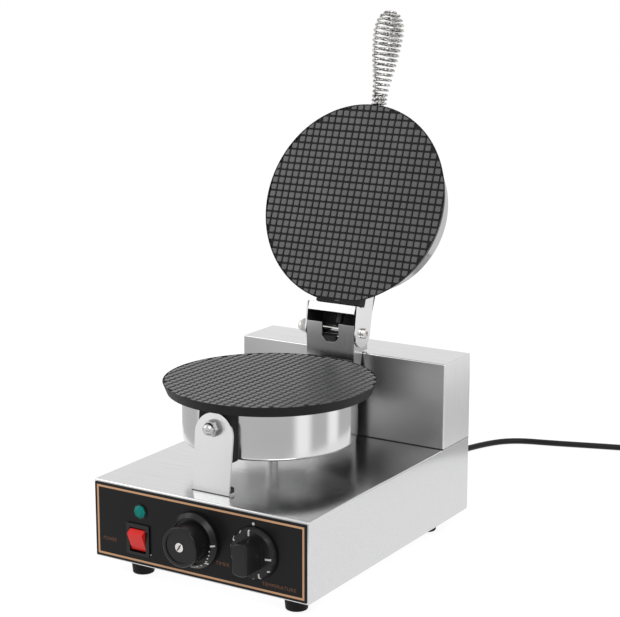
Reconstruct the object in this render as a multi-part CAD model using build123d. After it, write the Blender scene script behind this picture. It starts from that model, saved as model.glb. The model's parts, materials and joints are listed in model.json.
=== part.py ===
"""Electric krumkake iron: a counter-top wafer baker with one hinged lid.

Units are millimetres. +X is to the operator's right, +Y away from the operator, +Z up.
The origin is on the standing surface, under the middle of the machine with its lid open.
Pieces of the lid are modelled closed, then turned back about the hinge axis by OPEN_ANGLE.
"""

import os
from math import atan2, cos, degrees, radians, sin, sqrt, tan

from build123d import *

# Sheet-metal base: a low box with a taller housing across its back
BASE_W = 245.0
BASE_H = 78.5
HOUSING_D = 56.5
HOUSING_CLEAR = 6.5
SHEET = 1.2
BEND_R = 1.5
LIP = 12.0
SHEET_GAP = 0.3
HOLE_GAP = 0.2
LIP_SCREW_FRONT_SET = 95.0
LIP_SCREW_REAR_SET = 88.5
WIRE_HOLE_W = 60.0
WIRE_HOLE_D = 18.0
WIRE_HOLE_SET = 18.0

# Cooling slots of the bottom plate and the rear cover
BOTTOM_SLOT = (5.0, 26.0)
BOTTOM_SLOT_PITCH = (14.0, 40.0)
BOTTOM_SLOT_COUNT = (9, 3)
BOTTOM_SLOT_SHIFT = 10.0
REAR_SLOT = (4.0, 28.0)
REAR_SLOT_PITCH = 12.0
REAR_SLOT_COUNT = 7
REAR_SLOT_X = 58.0

# Rubber feet, set in from the edges of the base
FOOT_H = 15.0
FOOT_R = 12.0
FOOT_TIP_R = 10.5
FOOT_RECESS_R = 4.6
FOOT_RECESS_H = 7.0
FOOT_LEFT_INSET = 42.5
FOOT_RIGHT_INSET = 25.5
FOOT_FRONT_SET = 20.0
FOOT_REAR_SET = 44.0
FOOT_THREAD_OUT = 6.0
FOOT_NUT = (7.0, 3.2)

# Terminal block inside the housing
TERMINAL_INSET = 24.5
TERMINAL_L = 48.0
TERMINAL_D = 18.0
TERMINAL_H = 17.0
WELL_R = 2.5
WELL_DEPTH = 6.0
WELL_PITCH = (12.0, 9.0)

# Baking plates and the drums behind them
PLATE_R = 105.3
PLATE_DRAFT = 4.0
PLATE_T = 10.0
TAB_LEFT = 21.0
TAB_RIGHT = 31.5
TAB_STEP = 0.9
DRUM_R = 86.5
DRUM_H = 48.0
UPPER_DRUM_H = 41.0
DRUM_SHEET = 1.2
DRUM_BEND_R = 3.0
DRUM_GAP = 30.5
FACE_GAP = 1.0
BOSS_R = 9.0
DRUM_SCREW_L = 14.0
DRUM_THREAD_DEPTH = 16.0

# Heating elements, insulation, thermostat bulb and the leads' ways
HEATER_R = 4.0
HEATER_INSET = 23.0
HEATER_GAP = 0.3
HEATER_OPENING = 20.0
HEATER_END_L = 12.0
WOOL_T = 23.0
UPPER_WOOL_T = 16.0
WOOL_GAP = 1.4
SLEEVE_R = 6.0
SLEEVE_INSET = 19.0
SLEEVE_TURN = 122.0
SLEEVE_DEPTH = 4.0
LEAD_HOLE_R = 3.5
LEAD_SLEEVE_R = 4.2
LEAD_BORE_R = 2.8
RISER_SIZE = (18.0, 5.0)
RISER_BORE = (15.6, 2.6)
RISER_SIDE = 4.0
SPACER_R = 5.2
SPACER_GAP = 0.5
LID_SLEEVE_IN = 8.0
LID_SLEEVE_RISE = 0.5
PIN_CLEAR = 3.2
CAPILLARY_R = 1.0
CAPILLARY_BENDS = [12.0, 12.0, 8.0]
BULB_R = 3.0
BULB_L = 35.0
BULB_SET = 15.0
BULB_GAP = 0.4

# Front upright that carries the lower plate
UPRIGHT_W = 43.2
UPRIGHT_FOOT_W = 41.0
UPRIGHT_T = 2.0
UPRIGHT_SET = 22.0
UPRIGHT_LEAN = 5.9
UPRIGHT_CLEAR = 1.7
UPRIGHT_FOOT = 18.0
UPRIGHT_SCREW_INSET = 6.1
LUG_SIDE = 1.5
LUG_T = 6.16
STUD_DROP = 14.4
STUD_DEPTH = 5.0
STUD_THREAD_OUT = 9.6

# Hinge: a channel with two sides, the lid's yoke round it, and one pin through both
OPEN_ANGLE = 110.9
HINGE_X = -2.0
HINGE_RISE = 23.0
PIN_R = 4.0
PIN_SET = 14.5
PIN_HEAD_R = 5.6
PIN_HEAD_H = 4.0
PIN_HEAD_GAP = 0.3
PIN_THREAD = 8.0
RUN_FIT = 0.05
SIDE_GAP = 0.5
BRACKET_W = 57.0
BRACKET_GAP = 10.7
BRACKET_T = 2.0
BRACKET_TOP = 10.0
BRACKET_FOOT = 18.0
BRACKET_SCREW_INSET = 14.25
CHANNEL_D = 18.0
CHANNEL_GAP = 0.5
CHANNEL_FOOT_D = 5.0
CHANNEL_TAPER = 42.0
SIDE_CLEAR = 1.5
SIDE_EYE = 9.0
NOTCH_W = 20.0
NOTCH_DEPTH = 20.0
NOTCH_BEVEL = 5.0
STOP_T = 3.0
STOP_GAP = 0.5
REAR_LUG_W = 46.0
REAR_BOLT_SIDE = 13.5
REAR_LUG_H = 32.0
REAR_BOLT_DEPTH = 14.0
REAR_BOLT_HEAD_H = 5.3
EAR_R = 15.0
EAR_T = 2.0
EAR_LAP = 3.5
YOKE_GAP = 0.5
YOKE_CLEAR = 1.2
YOKE_DROP = 8.5
YOKE_RISE = 18.5
YOKE_SCREW_INSET = 12.5
YOKE_SCREW_L = 9.0
RELIEF_W = 1.2
COVER_RISE = 13.0
COVER_T = 1.2
COVER_GAP = 3.0
COVER_CLEAR = 6.0
COVER_TONGUE = 5.0

# Fasteners
M8_R = 4.0
M8_FLATS = 13.0
M6_R = 3.0
M4_R = 2.0
CASE_SCREW_L = 8.0
CASE_HEAD_R = 3.8
CASE_HEAD_H = 2.2
THREAD_GAP = 0.05
WASHER_R = 8.4
WASHER_T = 1.6
DOME_R = 6.2
M6_HEAD = (6.5, 3.4)
UPRIGHT_SCREW = (9.0, 4.6, 3.4)
YOKE_SCREW_HEAD = (5.4, 3.2)
BORE_REACH = 5.0

# Control panel and what is mounted on it
PANEL_T = 1.0
PANEL_SIDE = 1.5
PANEL_LOW = 1.2
PANEL_TOP = 2.3
BORDER_SET = 2.5
BORDER_W = 2.0
BORDER_T = 0.4
BORDER_GROOVE = 0.3
SWITCH_INSET = 53.5
SWITCH_Z = 26.5
SWITCH_DEPTH = 22.0
BEZEL_W = 27.0
BEZEL_H = 31.0
BEZEL_T = 2.0
BEZEL_LAP = 1.5
ROCKER_W = 17.6
ROCKER_H = 21.6
ROCKER_DROP = 0.7
ROCKER_OUT = 7.0
ROCKER_RIDGE = 3.6
ROCKER_BACK = 6.0
ROCKER_PIVOT = 4.0
ROCKER_SIDE_GAP = 0.6
ROCKER_END_GAP = 1.5
ROCKER_CAVITY = 11.0
TRUNNION_R = 1.5
TRUNNION_L = 1.4
TERMINAL_TAB = (0.8, 8.0, 5.0)
TERMINAL_TAB_SET = (6.0, 7.0)
LAMP_INSET = 56.5
LAMP_Z = 55.0
LAMP_R = 6.5
LAMP_H = 4.5
LAMP_RIM = 1.2
LAMP_FLANGE = 1.0
LAMP_DEPTH = 22.0
KNOB_Z = 39.5
TIMER_X = -1.5
THERMOSTAT_INSET = 57.5
KNOB_GAP = 0.8
KNOB_REACH = 28.0
TIMER_SKIRT_R = 27.0
TIMER_RIM_T = 3.8
TIMER_BEVEL_T = 4.0
TIMER_FACE_R = 23.3
TIMER_GROOVE = 1.2
TIMER_GRIP_R = 19.3
TIMER_DISH_RIM = 4.0
TIMER_DISH_DEPTH = 1.0
KNOB_SCREW_R = 2.0
KNOB_SCREW_L = 8.0
KNOB_SCREW_HEAD = (4.5, 1.0)
THERMOSTAT_SKIRT_R = 25.3
THERMOSTAT_RIM_T = 1.2
THERMOSTAT_BEVEL_T = 4.8
THERMOSTAT_FACE_R = 22.5
POINTER_R = 15.5
POINTER_W = 15.0
POINTER_FOOT_W = 24.0
POINTER_BEND_R = 1.5
SHAFT_R = 3.0
SHAFT_IN = 12.0
SHAFT_OUT = 14.0
SHAFT_END_GAP = 0.4
BUSH_R = 5.0
BUSH_GAP = 0.1
CONTROL_DEPTH = 30.0
TIMER_CASE_W = 42.0
THERMOSTAT_CASE_W = 36.0

# Coil handle: distance along its axis, radius of the wire's centre line
HANDLE_RISE = 5.5
HANDLE_GAP = 0.8
HANDLE_DROOP = 6.0
HANDLE_LUG_W = 26.0
HANDLE_LUG_H = 18.0
HANDLE_LUG_SET = 4.7
STUD_R = 5.55
STUD_OUT = 14.0
WIRE_R = 1.25
NECK_PITCH = 4.5
COIL_PITCH = 5.4
NECK_R = 6.9
COIL_STEPS = [
    (13.5, 7.2), (26.0, 8.6), (40.0, 11.0), (55.0, 13.3), (70.0, 14.8),
    (80.0, 15.0), (88.0, 13.9), (94.0, 11.5), (98.5, 7.8), (100.5, 3.4),
]

# Mains cord: gland, route across the floor, coil and plug; set-backs are behind the rear cover
CORD_R = 3.5
CORD_FLOOR = CORD_R + 0.1
GLAND_X = -20.0
GLAND_Z = 26.0
GLAND_L = 30.0
GLAND_NECK_R = 7.5
GLAND_FLANGE = (10.5, 3.0)
GLAND_TAPER = (7.2, 4.8)
GLAND_NUT = (19.0, 4.0)
CORD_ROUTE = [
    (-20.0, 60.0, 41.0), (-18.0, 88.0, 27.0), (-15.0, 116.0, 5.5), (-11.0, 150.0, CORD_FLOOR),
    (1.0, 196.0, CORD_FLOOR), (20.0, 255.0, CORD_FLOOR), (43.0, 285.0, CORD_FLOOR),
    (89.0, 298.5, CORD_FLOOR), (137.0, 315.5, CORD_FLOOR), (184.0, 331.0, CORD_FLOOR),
]
COIL_TURN_R = 38.5
TURN_SPACING = 7.3
COIL_X = 234.0
COIL_SET = 301.5
COIL_ENTRY_TURN = 110.0
COIL_EXIT_TURN = 12.0
PLUG_R = 18.5
PLUG_L = 42.0
PLUG_NECK = 0.4
PLUG_OFFSET = (60.0, -66.0)
TAIL_STEPS = [(4.0, -24.0, 13.0), (10.0, -50.0, PLUG_R)]
PIN_SPACING = 19.0
PLUG_PIN_R = 2.4
PLUG_PIN_L = 19.0

# Levels and places worked out from the sizes above
TOP_Z = FOOT_H + BASE_H
LOWER_DRUM_Z = TOP_Z + DRUM_GAP
LOWER_BACK_Z = LOWER_DRUM_Z + DRUM_H
LOWER_FACE_Z = LOWER_BACK_Z + PLATE_T
UPPER_FACE_Z = LOWER_FACE_Z + FACE_GAP
UPPER_BACK_Z = UPPER_FACE_Z + PLATE_T
UPPER_DRUM_Z = UPPER_BACK_Z + UPPER_DRUM_H
HINGE_Z = LOWER_FACE_Z + HINGE_RISE
HOUSING_TOP = HINGE_Z - EAR_R - HOUSING_CLEAR
HANDLE_Z = UPPER_BACK_Z + HANDLE_RISE
UPRIGHT_H = (DRUM_GAP + DRUM_H - UPRIGHT_CLEAR) / cos(radians(UPRIGHT_LEAN))
STUD_H = UPRIGHT_H - STUD_DROP
TAB_REACH = PLATE_R + TAB_STEP

# Set-backs behind the front face: upright, lug and drum give the plate's place, then the hinge's
PLATE_SET = UPRIGHT_SET + UPRIGHT_H * sin(radians(UPRIGHT_LEAN)) + UPRIGHT_T + LUG_T + DRUM_R
BRACKET_SET = PLATE_SET + TAB_REACH + BRACKET_GAP
HINGE_SET = BRACKET_SET + PIN_SET
HOUSING_SET = BRACKET_SET + CHANNEL_D
BASE_D = HOUSING_SET + HOUSING_D
HANDLE_SET = PLATE_SET - PLATE_R - HANDLE_GAP


def turned(dy, dz):
    """Where a point of the closed lid, given from the hinge pin, goes when the lid opens."""
    turn = radians(OPEN_ANGLE)
    return dy * cos(turn) + dz * sin(turn), dz * cos(turn) - dy * sin(turn)


def rear_reach():
    """How far behind the front face the open lid goes: the drum's rim or the coil's widest turn."""
    drum_front = PLATE_SET - DRUM_R + DRUM_BEND_R - HINGE_SET
    drum_back = turned(drum_front, UPPER_DRUM_Z - DRUM_BEND_R - HINGE_Z)[0] + DRUM_BEND_R
    droop = radians(HANDLE_DROOP)
    along, out = max(COIL_STEPS, key=lambda step: step[1])
    ahead = HANDLE_SET - along * cos(droop) - (out + WIRE_R) * sin(droop) - HINGE_SET
    above = HANDLE_Z - along * sin(droop) + (out + WIRE_R) * cos(droop) - HINGE_Z
    return HINGE_SET + max(drum_back, turned(ahead, above)[0])


FRONT_Y = (KNOB_REACH - rear_reach()) / 2
PANEL_Y = FRONT_Y - PANEL_T
PLATE_Y = FRONT_Y + PLATE_SET
SLEEVE_R_SET = DRUM_R - SLEEVE_INSET
BRACKET_Y = FRONT_Y + BRACKET_SET
HINGE_Y = FRONT_Y + HINGE_SET
HOUSING_Y = FRONT_Y + HOUSING_SET
BACK_Y = FRONT_Y + BASE_D
SWITCH_X = SWITCH_INSET - BASE_W / 2
LAMP_X = LAMP_INSET - BASE_W / 2
THERMOSTAT_X = BASE_W / 2 - THERMOSTAT_INSET
HINGE_AXIS = Axis((HINGE_X, HINGE_Y, HINGE_Z), (1, 0, 0))
UP = (Align.CENTER, Align.CENTER, Align.MIN)


# Small shapes that many pieces share
def block(x0, x1, y0, y1, z0, z1):
    """A box between two corners."""
    return Pos((x0 + x1) / 2, (y0 + y1) / 2, (z0 + z1) / 2) * Box(x1 - x0, y1 - y0, z1 - z0)


def rod(radius, start, end):
    """A round bar from one point to another."""
    along = Vector(*end) - Vector(*start)
    return Plane(origin=start, z_dir=along) * Cylinder(radius, along.length, align=UP)


def tube(outer, inner, start, end):
    """A round pipe from one point to another."""
    return rod(outer, start, end) - rod(inner, start, end)


def side_plate(points, x0, x1):
    """A flat plate with an outline of (y, z) points, between two x positions."""
    outline = Plane.YZ * make_face(Polyline(*points, close=True))
    return Pos(x0, 0, 0) * extrude(outline, amount=x1 - x0, dir=(1, 0, 0))


def screw(radius, length, head_r, head_h):
    """A pan-head screw: seat of the head at z = 0, shank down, a cross slot on top."""
    head = Cylinder(head_r, head_h, align=UP)
    head = fillet(head.edges().sort_by(Axis.Z)[-1], head_h * 0.4)
    slot = Pos(0, 0, head_h) * Box(head_r * 1.2, head_r * 0.22, head_h * 0.7)
    shank = Pos(0, 0, -length) * Cylinder(radius, length, align=UP)
    return head + shank - slot - slot.rotate(Axis.Z, 90)


def facing(point, direction, shape):
    """Places a shape drawn along +Z at a point, pointing in a direction."""
    return Plane(origin=point, z_dir=direction) * shape


def screws(points, direction, radius, length, head_r, head_h):
    """A group of equal screws, all pointing their heads in one direction."""
    one = screw(radius, length, head_r, head_h)
    return Compound(children=[facing(p, direction, one).solid() for p in points])


def nut(across_flats, height, bore):
    """A hexagon nut from z = 0 up."""
    body = extrude(RegularPolygon(across_flats / 2, 6, major_radius=False), amount=height)
    return body - Cylinder(bore, height * 3)


def cap_nut(across_flats, hex_h, dome_r, depth, bore):
    """A domed nut from z = 0 up, with a blind hole."""
    body = extrude(RegularPolygon(across_flats / 2, 6, major_radius=False), amount=hex_h)
    dome = Pos(0, 0, hex_h) * Sphere(dome_r)
    dome = dome & Pos(0, 0, hex_h) * Cylinder(dome_r, dome_r, align=UP)
    return body + dome - Cylinder(bore, depth, align=UP)


def washer(outer, inner, thickness):
    """A flat ring from z = 0 up."""
    return Cylinder(outer, thickness, align=UP) - Cylinder(inner, thickness * 3)


def bent_box(x0, x1, y0, y1, z0, z1):
    """A sheet box open at the bottom and the back, bent at its other edges."""
    outer = block(x0, x1, y0, y1, z0, z1)
    top = outer.faces().sort_by(Axis.Z)[-1]
    front = outer.faces().sort_by(Axis.Y)[0]
    edges = top.edges().sort_by(Axis.Y)[:-1] + front.edges().filter_by(Axis.Z)
    outer = fillet(edges, BEND_R)
    inner = block(x0 + SHEET, x1 - SHEET, y0 + SHEET, y1 + 1, z0 - 1, z1 - SHEET)
    return outer - inner


# Places of fasteners, shared by the screws and their holes
def foot_points():
    """Centres of the feet on the underside of the base."""
    rows = (FRONT_Y + FOOT_FRONT_SET, BACK_Y - FOOT_REAR_SET)
    columns = (FOOT_LEFT_INSET - BASE_W / 2, BASE_W / 2 - FOOT_RIGHT_INSET)
    return [(x, y, FOOT_H) for y in rows for x in columns]


def side_screw_x():
    """How far out the screws in the side lips are."""
    return BASE_W / 2 - SHEET - LIP / 2


def lip_points():
    """Screws that join the bottom plate to the lips of the base."""
    rows = (FRONT_Y + LIP_SCREW_FRONT_SET, BACK_Y - LIP_SCREW_REAR_SET)
    return [(side * side_screw_x(), y, FOOT_H) for y in rows for side in (-1, 1)]


def cover_points():
    """Screws round the rear cover."""
    levels = (FOOT_H + LIP, TOP_Z - LIP, HOUSING_TOP - LIP)
    return [(side * side_screw_x(), BACK_Y, z) for z in levels for side in (-1, 1)]


def housing_points():
    """Screws through the lips of the rear housing into the base top."""
    y = HOUSING_Y + HOUSING_D / 2
    return [(side * side_screw_x(), y, TOP_Z + SHEET) for side in (-1, 1)]


def upright_foot_points():
    """Screws in the foot of the front upright."""
    x = UPRIGHT_FOOT_W / 2 - UPRIGHT_SCREW_INSET
    y = FRONT_Y + UPRIGHT_SET + (UPRIGHT_FOOT + UPRIGHT_T) / 2
    return [(side * x, y, TOP_Z + UPRIGHT_T) for side in (-1, 1)]


def bracket_foot_points():
    """Screws in the foot of the hinge bracket."""
    x, y = BRACKET_W / 2 - BRACKET_SCREW_INSET, BRACKET_Y - BRACKET_FOOT / 2
    return [(HINGE_X + side * x, y, TOP_Z + BRACKET_T) for side in (-1, 1)]


def drilled(shape, points, direction, radius, depth=2 * CASE_SCREW_L):
    """Cuts one hole through a shape at each point, half its depth each way along a direction."""
    for point in points:
        shape = shape - facing(point, direction, Cylinder(radius, depth))
    return shape


def lead_way(reach, level, turn=SLEEVE_TURN):
    """A point at a distance from the plates' middle, on the side where the leads come in."""
    return (reach * cos(radians(turn)), PLATE_Y + reach * sin(radians(turn)), level)


def lead_bore(radius, low, high, turn=SLEEVE_TURN):
    """Round bar for the leads' way through floors and insulation, between two levels."""
    return rod(radius, lead_way(SLEEVE_R_SET, low, turn), lead_way(SLEEVE_R_SET, high, turn))


# Base
def base_shell():
    """Front, top and sides of the base in one bent sheet, with lips for its covers."""
    x, y1 = BASE_W / 2, BACK_Y - SHEET
    shell = bent_box(-x, x, FRONT_Y, y1, FOOT_H, TOP_Z)
    for side in (-1, 1):
        xa, xb = sorted((side * (x - SHEET), side * (x - SHEET - LIP)))
        low = FOOT_H + SHEET + SHEET_GAP
        shell = shell + block(xa, xb, FRONT_Y + SHEET, y1, low, low + SHEET)
        shell = shell + block(xa, xb, y1 - SHEET, y1, low, TOP_Z - SHEET)
    below = cover_points()[:4]
    for points, direction in (
        (lip_points(), (0, 0, 1)), (below, (0, 1, 0)), (housing_points(), (0, 0, 1)),
        (upright_foot_points(), (0, 0, 1)), (bracket_foot_points(), (0, 0, 1)),
    ):
        shell = drilled(shell, points, direction, M4_R + HOLE_GAP)
    shell = shell - panel_cutouts()
    shell = shell - lead_bore(SLEEVE_R + HOLE_GAP, TOP_Z - BORE_REACH, TOP_Z + BORE_REACH)
    half, y0 = WIRE_HOLE_W / 2, HOUSING_Y + WIRE_HOLE_SET
    return shell - block(-half, half, y0, y0 + WIRE_HOLE_D, TOP_Z - BORE_REACH, TOP_Z + BORE_REACH)


def panel_cutouts():
    """Holes through the front wall and the control panel for what is mounted there."""
    y0, y1 = PANEL_Y - 1, FRONT_Y + SHEET + 1
    z, half_w, half_h = FOOT_H + SWITCH_Z, BEZEL_W / 2 - BEZEL_LAP, BEZEL_H / 2 - BEZEL_LAP
    cuts = block(SWITCH_X - half_w, SWITCH_X + half_w, y0, y1, z - half_h, z + half_h)
    cuts = cuts + rod(LAMP_R - LAMP_FLANGE, (LAMP_X, y0, FOOT_H + LAMP_Z), (LAMP_X, y1, FOOT_H + LAMP_Z))
    for x in (TIMER_X, THERMOSTAT_X):
        cuts = cuts + rod(BUSH_R, (x, y0, FOOT_H + KNOB_Z), (x, y1, FOOT_H + KNOB_Z))
    return cuts


def bottom_plate():
    """Flat closing plate under the base, with cooling slots."""
    x = BASE_W / 2 - SHEET - SHEET_GAP
    y0, y1 = FRONT_Y + SHEET + SHEET_GAP, BACK_Y - SHEET - SHEET_GAP
    plate = block(-x, x, y0, y1, FOOT_H, FOOT_H + SHEET)
    slots = GridLocations(*BOTTOM_SLOT_PITCH, *BOTTOM_SLOT_COUNT)
    cut = Pos(0, PLATE_Y + BOTTOM_SLOT_SHIFT, FOOT_H) * slots * Box(*BOTTOM_SLOT, SHEET * 4)
    plate = drilled(plate - cut, lip_points(), (0, 0, 1), M4_R + HOLE_GAP)
    return drilled(plate, foot_points(), (0, 0, 1), M4_R + HOLE_GAP)


def feet():
    """Four rubber feet, recessed below for their screws."""
    body = Cone(FOOT_TIP_R, FOOT_R, FOOT_H, align=UP)
    body = fillet(body.edges().sort_by(Axis.Z)[0], 1.0)
    body = body - Cylinder(FOOT_RECESS_R, FOOT_RECESS_H, align=UP)
    body = body - Cylinder(M4_R + HOLE_GAP, FOOT_H * 3)
    return Compound(children=[(Pos(x, y, 0) * body).solid() for x, y, _ in foot_points()])


def foot_screws():
    """Screws up through the feet into the bottom plate."""
    seats = [(x, y, FOOT_RECESS_H) for x, y, _ in foot_points()]
    length = FOOT_H - FOOT_RECESS_H + SHEET + FOOT_THREAD_OUT
    return screws(seats, (0, 0, -1), M4_R, length, CASE_HEAD_R, CASE_HEAD_H)


def foot_nuts():
    """Nuts on the foot screws, inside the base."""
    one = nut(*FOOT_NUT, M4_R)
    return Compound(children=[(Pos(x, y, FOOT_H + SHEET) * one).solid() for x, y, _ in foot_points()])


def case_screws():
    """Equal pan-head screws of the bottom plate, housing, rear cover and hinge bracket."""
    groups = [
        (lip_points(), (0, 0, -1)), (housing_points(), (0, 0, 1)),
        (cover_points(), (0, 1, 0)), (bracket_foot_points(), (0, 0, 1)),
    ]
    solids = []
    for points, direction in groups:
        solids += screws(points, direction, M4_R, CASE_SCREW_L, CASE_HEAD_R, CASE_HEAD_H).solids()
    return Compound(children=solids)


def rear_housing():
    """Raised housing across the back of the base, with lips for its screws."""
    x, y1 = BASE_W / 2, BACK_Y - SHEET
    shell = bent_box(-x, x, HOUSING_Y, y1, TOP_Z, HOUSING_TOP)
    for side in (-1, 1):
        xa, xb = sorted((side * (x - SHEET), side * (x - SHEET - LIP)))
        shell = shell + block(xa, xb, HOUSING_Y + SHEET, y1, TOP_Z, TOP_Z + SHEET)
        shell = shell + block(xa, xb, y1 - SHEET, y1, TOP_Z, HOUSING_TOP - SHEET)
    shell = drilled(shell, housing_points(), (0, 0, 1), M4_R + HOLE_GAP)
    return drilled(shell, cover_points()[4:], (0, 1, 0), M4_R + HOLE_GAP)


def rear_cover():
    """Back plate over the base and the housing, with cooling slots and the cord's hole."""
    x = BASE_W / 2
    plate = block(-x, x, BACK_Y - SHEET, BACK_Y, FOOT_H, HOUSING_TOP)
    plate = fillet(plate.edges().filter_by(Axis.Y), BEND_R)
    slot_w, slot_h = REAR_SLOT
    slots = GridLocations(REAR_SLOT_PITCH, 1, REAR_SLOT_COUNT, 1)
    for level in (FOOT_H + BASE_H / 2, (TOP_Z + HOUSING_TOP) / 2):
        for place in slots:
            plate = plate - Pos(REAR_SLOT_X, BACK_Y, level) * place * Box(slot_w, SHEET * 4, slot_h)
    low, high = (GLAND_X, BACK_Y - BORE_REACH, gland_z()), (GLAND_X, BACK_Y + BORE_REACH, gland_z())
    return drilled(plate - rod(GLAND_NECK_R, low, high), cover_points(), (0, 1, 0), M4_R + HOLE_GAP)


def gland_z():
    """Height of the cord where it leaves the base."""
    return FOOT_H + GLAND_Z


def terminal_block():
    """Ceramic terminal block on the base top, inside the housing."""
    x, y = BASE_W / 2 - TERMINAL_INSET - TERMINAL_L / 2, HOUSING_Y + HOUSING_D / 2
    body = Pos(x, y, TOP_Z) * Box(TERMINAL_L, TERMINAL_D, TERMINAL_H, align=UP)
    top = Pos(x, y, TOP_Z + TERMINAL_H)
    return body - top * GridLocations(*WELL_PITCH, 4, 2) * Cylinder(WELL_R, 2 * WELL_DEPTH)


# Control panel
def control_panel():
    """Black front plate, grooved for its border line."""
    x, z = BASE_W / 2 - PANEL_SIDE, FOOT_H
    plate = block(-x, x, PANEL_Y, FRONT_Y, z + PANEL_LOW, TOP_Z - PANEL_TOP)
    plate = fillet(plate.edges().filter_by(Axis.Y), 1.0)
    groove = border_ring(PANEL_Y - 1, PANEL_Y + BORDER_GROOVE)
    return plate - groove - panel_cutouts()


def border_ring(y0, y1):
    """The border line's rectangle between two depths."""
    x = BASE_W / 2 - PANEL_SIDE - BORDER_SET
    z0, z1 = FOOT_H + PANEL_LOW + BORDER_SET, TOP_Z - PANEL_TOP - BORDER_SET
    outer = block(-x, x, y0, y1, z0, z1)
    return outer - block(-x + BORDER_W, x - BORDER_W, y0 - 1, y1 + 1, z0 + BORDER_W, z1 - BORDER_W)


def panel_border():
    """Thin coloured strip inlaid round the control panel."""
    return border_ring(PANEL_Y + BORDER_GROOVE - BORDER_T, PANEL_Y + BORDER_GROOVE)


def rocker_switch():
    """Housing of the power switch: a bezel on the panel and a box behind it."""
    z = FOOT_H + SWITCH_Z
    half_w, half_h = BEZEL_W / 2, BEZEL_H / 2
    front = PANEL_Y - BEZEL_T
    bezel = block(SWITCH_X - half_w, SWITCH_X + half_w, front, PANEL_Y, z - half_h, z + half_h)
    bezel = fillet(bezel.edges().filter_by(Axis.Y), 1.2)
    w, h = half_w - BEZEL_LAP - HOLE_GAP, half_h - BEZEL_LAP - HOLE_GAP
    body = block(SWITCH_X - w, SWITCH_X + w, PANEL_Y, PANEL_Y + SWITCH_DEPTH, z - h, z + h)
    w, h = ROCKER_W / 2 + ROCKER_SIDE_GAP, ROCKER_H / 2 + ROCKER_END_GAP
    z = z - ROCKER_DROP
    front = PANEL_Y - BEZEL_T - 1
    well = block(SWITCH_X - w, SWITCH_X + w, front, PANEL_Y + ROCKER_CAVITY, z - h, z + h)
    return bezel + body - well - rocker_pivot(w + TRUNNION_L + RUN_FIT, TRUNNION_R + RUN_FIT)


def rocker_pivot(reach, radius):
    """Bar along the line that the rocker turns about, out to both sides of the switch."""
    y, z = PANEL_Y + ROCKER_PIVOT, FOOT_H + SWITCH_Z - ROCKER_DROP
    return rod(radius, (SWITCH_X - reach, y, z), (SWITCH_X + reach, y, z))


def switch_terminals():
    """Brass tabs behind the power switch."""
    _, length, _ = TERMINAL_TAB
    across, up = TERMINAL_TAB_SET
    y, z = PANEL_Y + SWITCH_DEPTH + length / 2, FOOT_H + SWITCH_Z
    places = [Pos(SWITCH_X + i * across, y, z + j * up) for i in (-1, 1) for j in (-1, 1)]
    return Compound(children=[(place * Box(*TERMINAL_TAB)).solid() for place in places])


def rocker_button():
    """Red rocker, at rest with its upper end out; its trunnions turn in the switch's sides."""
    y, z = PANEL_Y, FOOT_H + SWITCH_Z - ROCKER_DROP
    h = ROCKER_H / 2
    outline = [
        (y + ROCKER_BACK, z + h - 2), (y + 2, z + h), (y - 1.5, z + h),
        (y - ROCKER_OUT, z + h - ROCKER_RIDGE), (y + 0.4, z - h), (y + 4, z - h),
        (y + ROCKER_BACK, z - h + 2),
    ]
    button = side_plate(outline, SWITCH_X - ROCKER_W / 2, SWITCH_X + ROCKER_W / 2)
    front = button.edges().filter_by(Axis.X).sort_by(Axis.Y)[:2]
    reach = ROCKER_W / 2 + ROCKER_SIDE_GAP + TRUNNION_L
    return fillet(front, 0.5) + rocker_pivot(reach, TRUNNION_R)


def pilot_lamp_body():
    """Neck and flange of the pilot lamp."""
    z = FOOT_H + LAMP_Z
    neck_r = LAMP_R - LAMP_FLANGE - BUSH_GAP
    neck = rod(neck_r, (LAMP_X, PANEL_Y, z), (LAMP_X, PANEL_Y + LAMP_DEPTH, z))
    return neck + rod(LAMP_R + LAMP_FLANGE, (LAMP_X, PANEL_Y - LAMP_FLANGE, z), (LAMP_X, PANEL_Y, z))


def pilot_lamp_lens():
    """Faceted jewel of the pilot lamp."""
    z, seat = FOOT_H + LAMP_Z, PANEL_Y - LAMP_FLANGE
    base = Plane(origin=(LAMP_X, seat, z), z_dir=(0, -1, 0))
    rim = extrude(base * RegularPolygon(LAMP_R, 8), amount=LAMP_RIM)
    crown = Plane(origin=(LAMP_X, seat - LAMP_RIM, z), z_dir=(0, -1, 0))
    height = LAMP_H - LAMP_FLANGE - LAMP_RIM
    return rim + extrude(crown * RegularPolygon(LAMP_R, 8), amount=height, taper=50)


def control_body(x, width):
    """A control behind the panel: its box, and the bush that carries the shaft."""
    y, z, half = FRONT_Y + SHEET, FOOT_H + KNOB_Z, width / 2
    body = block(x - half, x + half, y, y + CONTROL_DEPTH, z - half, z + half)
    body = body + rod(BUSH_R - BUSH_GAP, (x, PANEL_Y - KNOB_GAP / 2, z), (x, y, z))
    return body - rod(SHAFT_R + RUN_FIT, (x, PANEL_Y - KNOB_GAP, z), (x, y + SHAFT_IN + SHAFT_END_GAP, z))


def control_shaft(x):
    """Shaft from inside the control to inside its knob."""
    z = FOOT_H + KNOB_Z
    return rod(SHAFT_R, (x, PANEL_Y - SHAFT_OUT, z), (x, FRONT_Y + SHEET + SHAFT_IN, z))


def knob_skirt(x, skirt_r, rim_t, face_r, bevel_t):
    """Bevelled skirt of a knob, standing just off the panel."""
    rim_y = PANEL_Y - KNOB_GAP
    rim = facing((x, rim_y, FOOT_H + KNOB_Z), (0, -1, 0), Cylinder(skirt_r, rim_t, align=UP))
    bevel = Cone(skirt_r, face_r, bevel_t, align=UP)
    return rim + facing((x, rim_y - rim_t, FOOT_H + KNOB_Z), (0, -1, 0), bevel)


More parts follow.
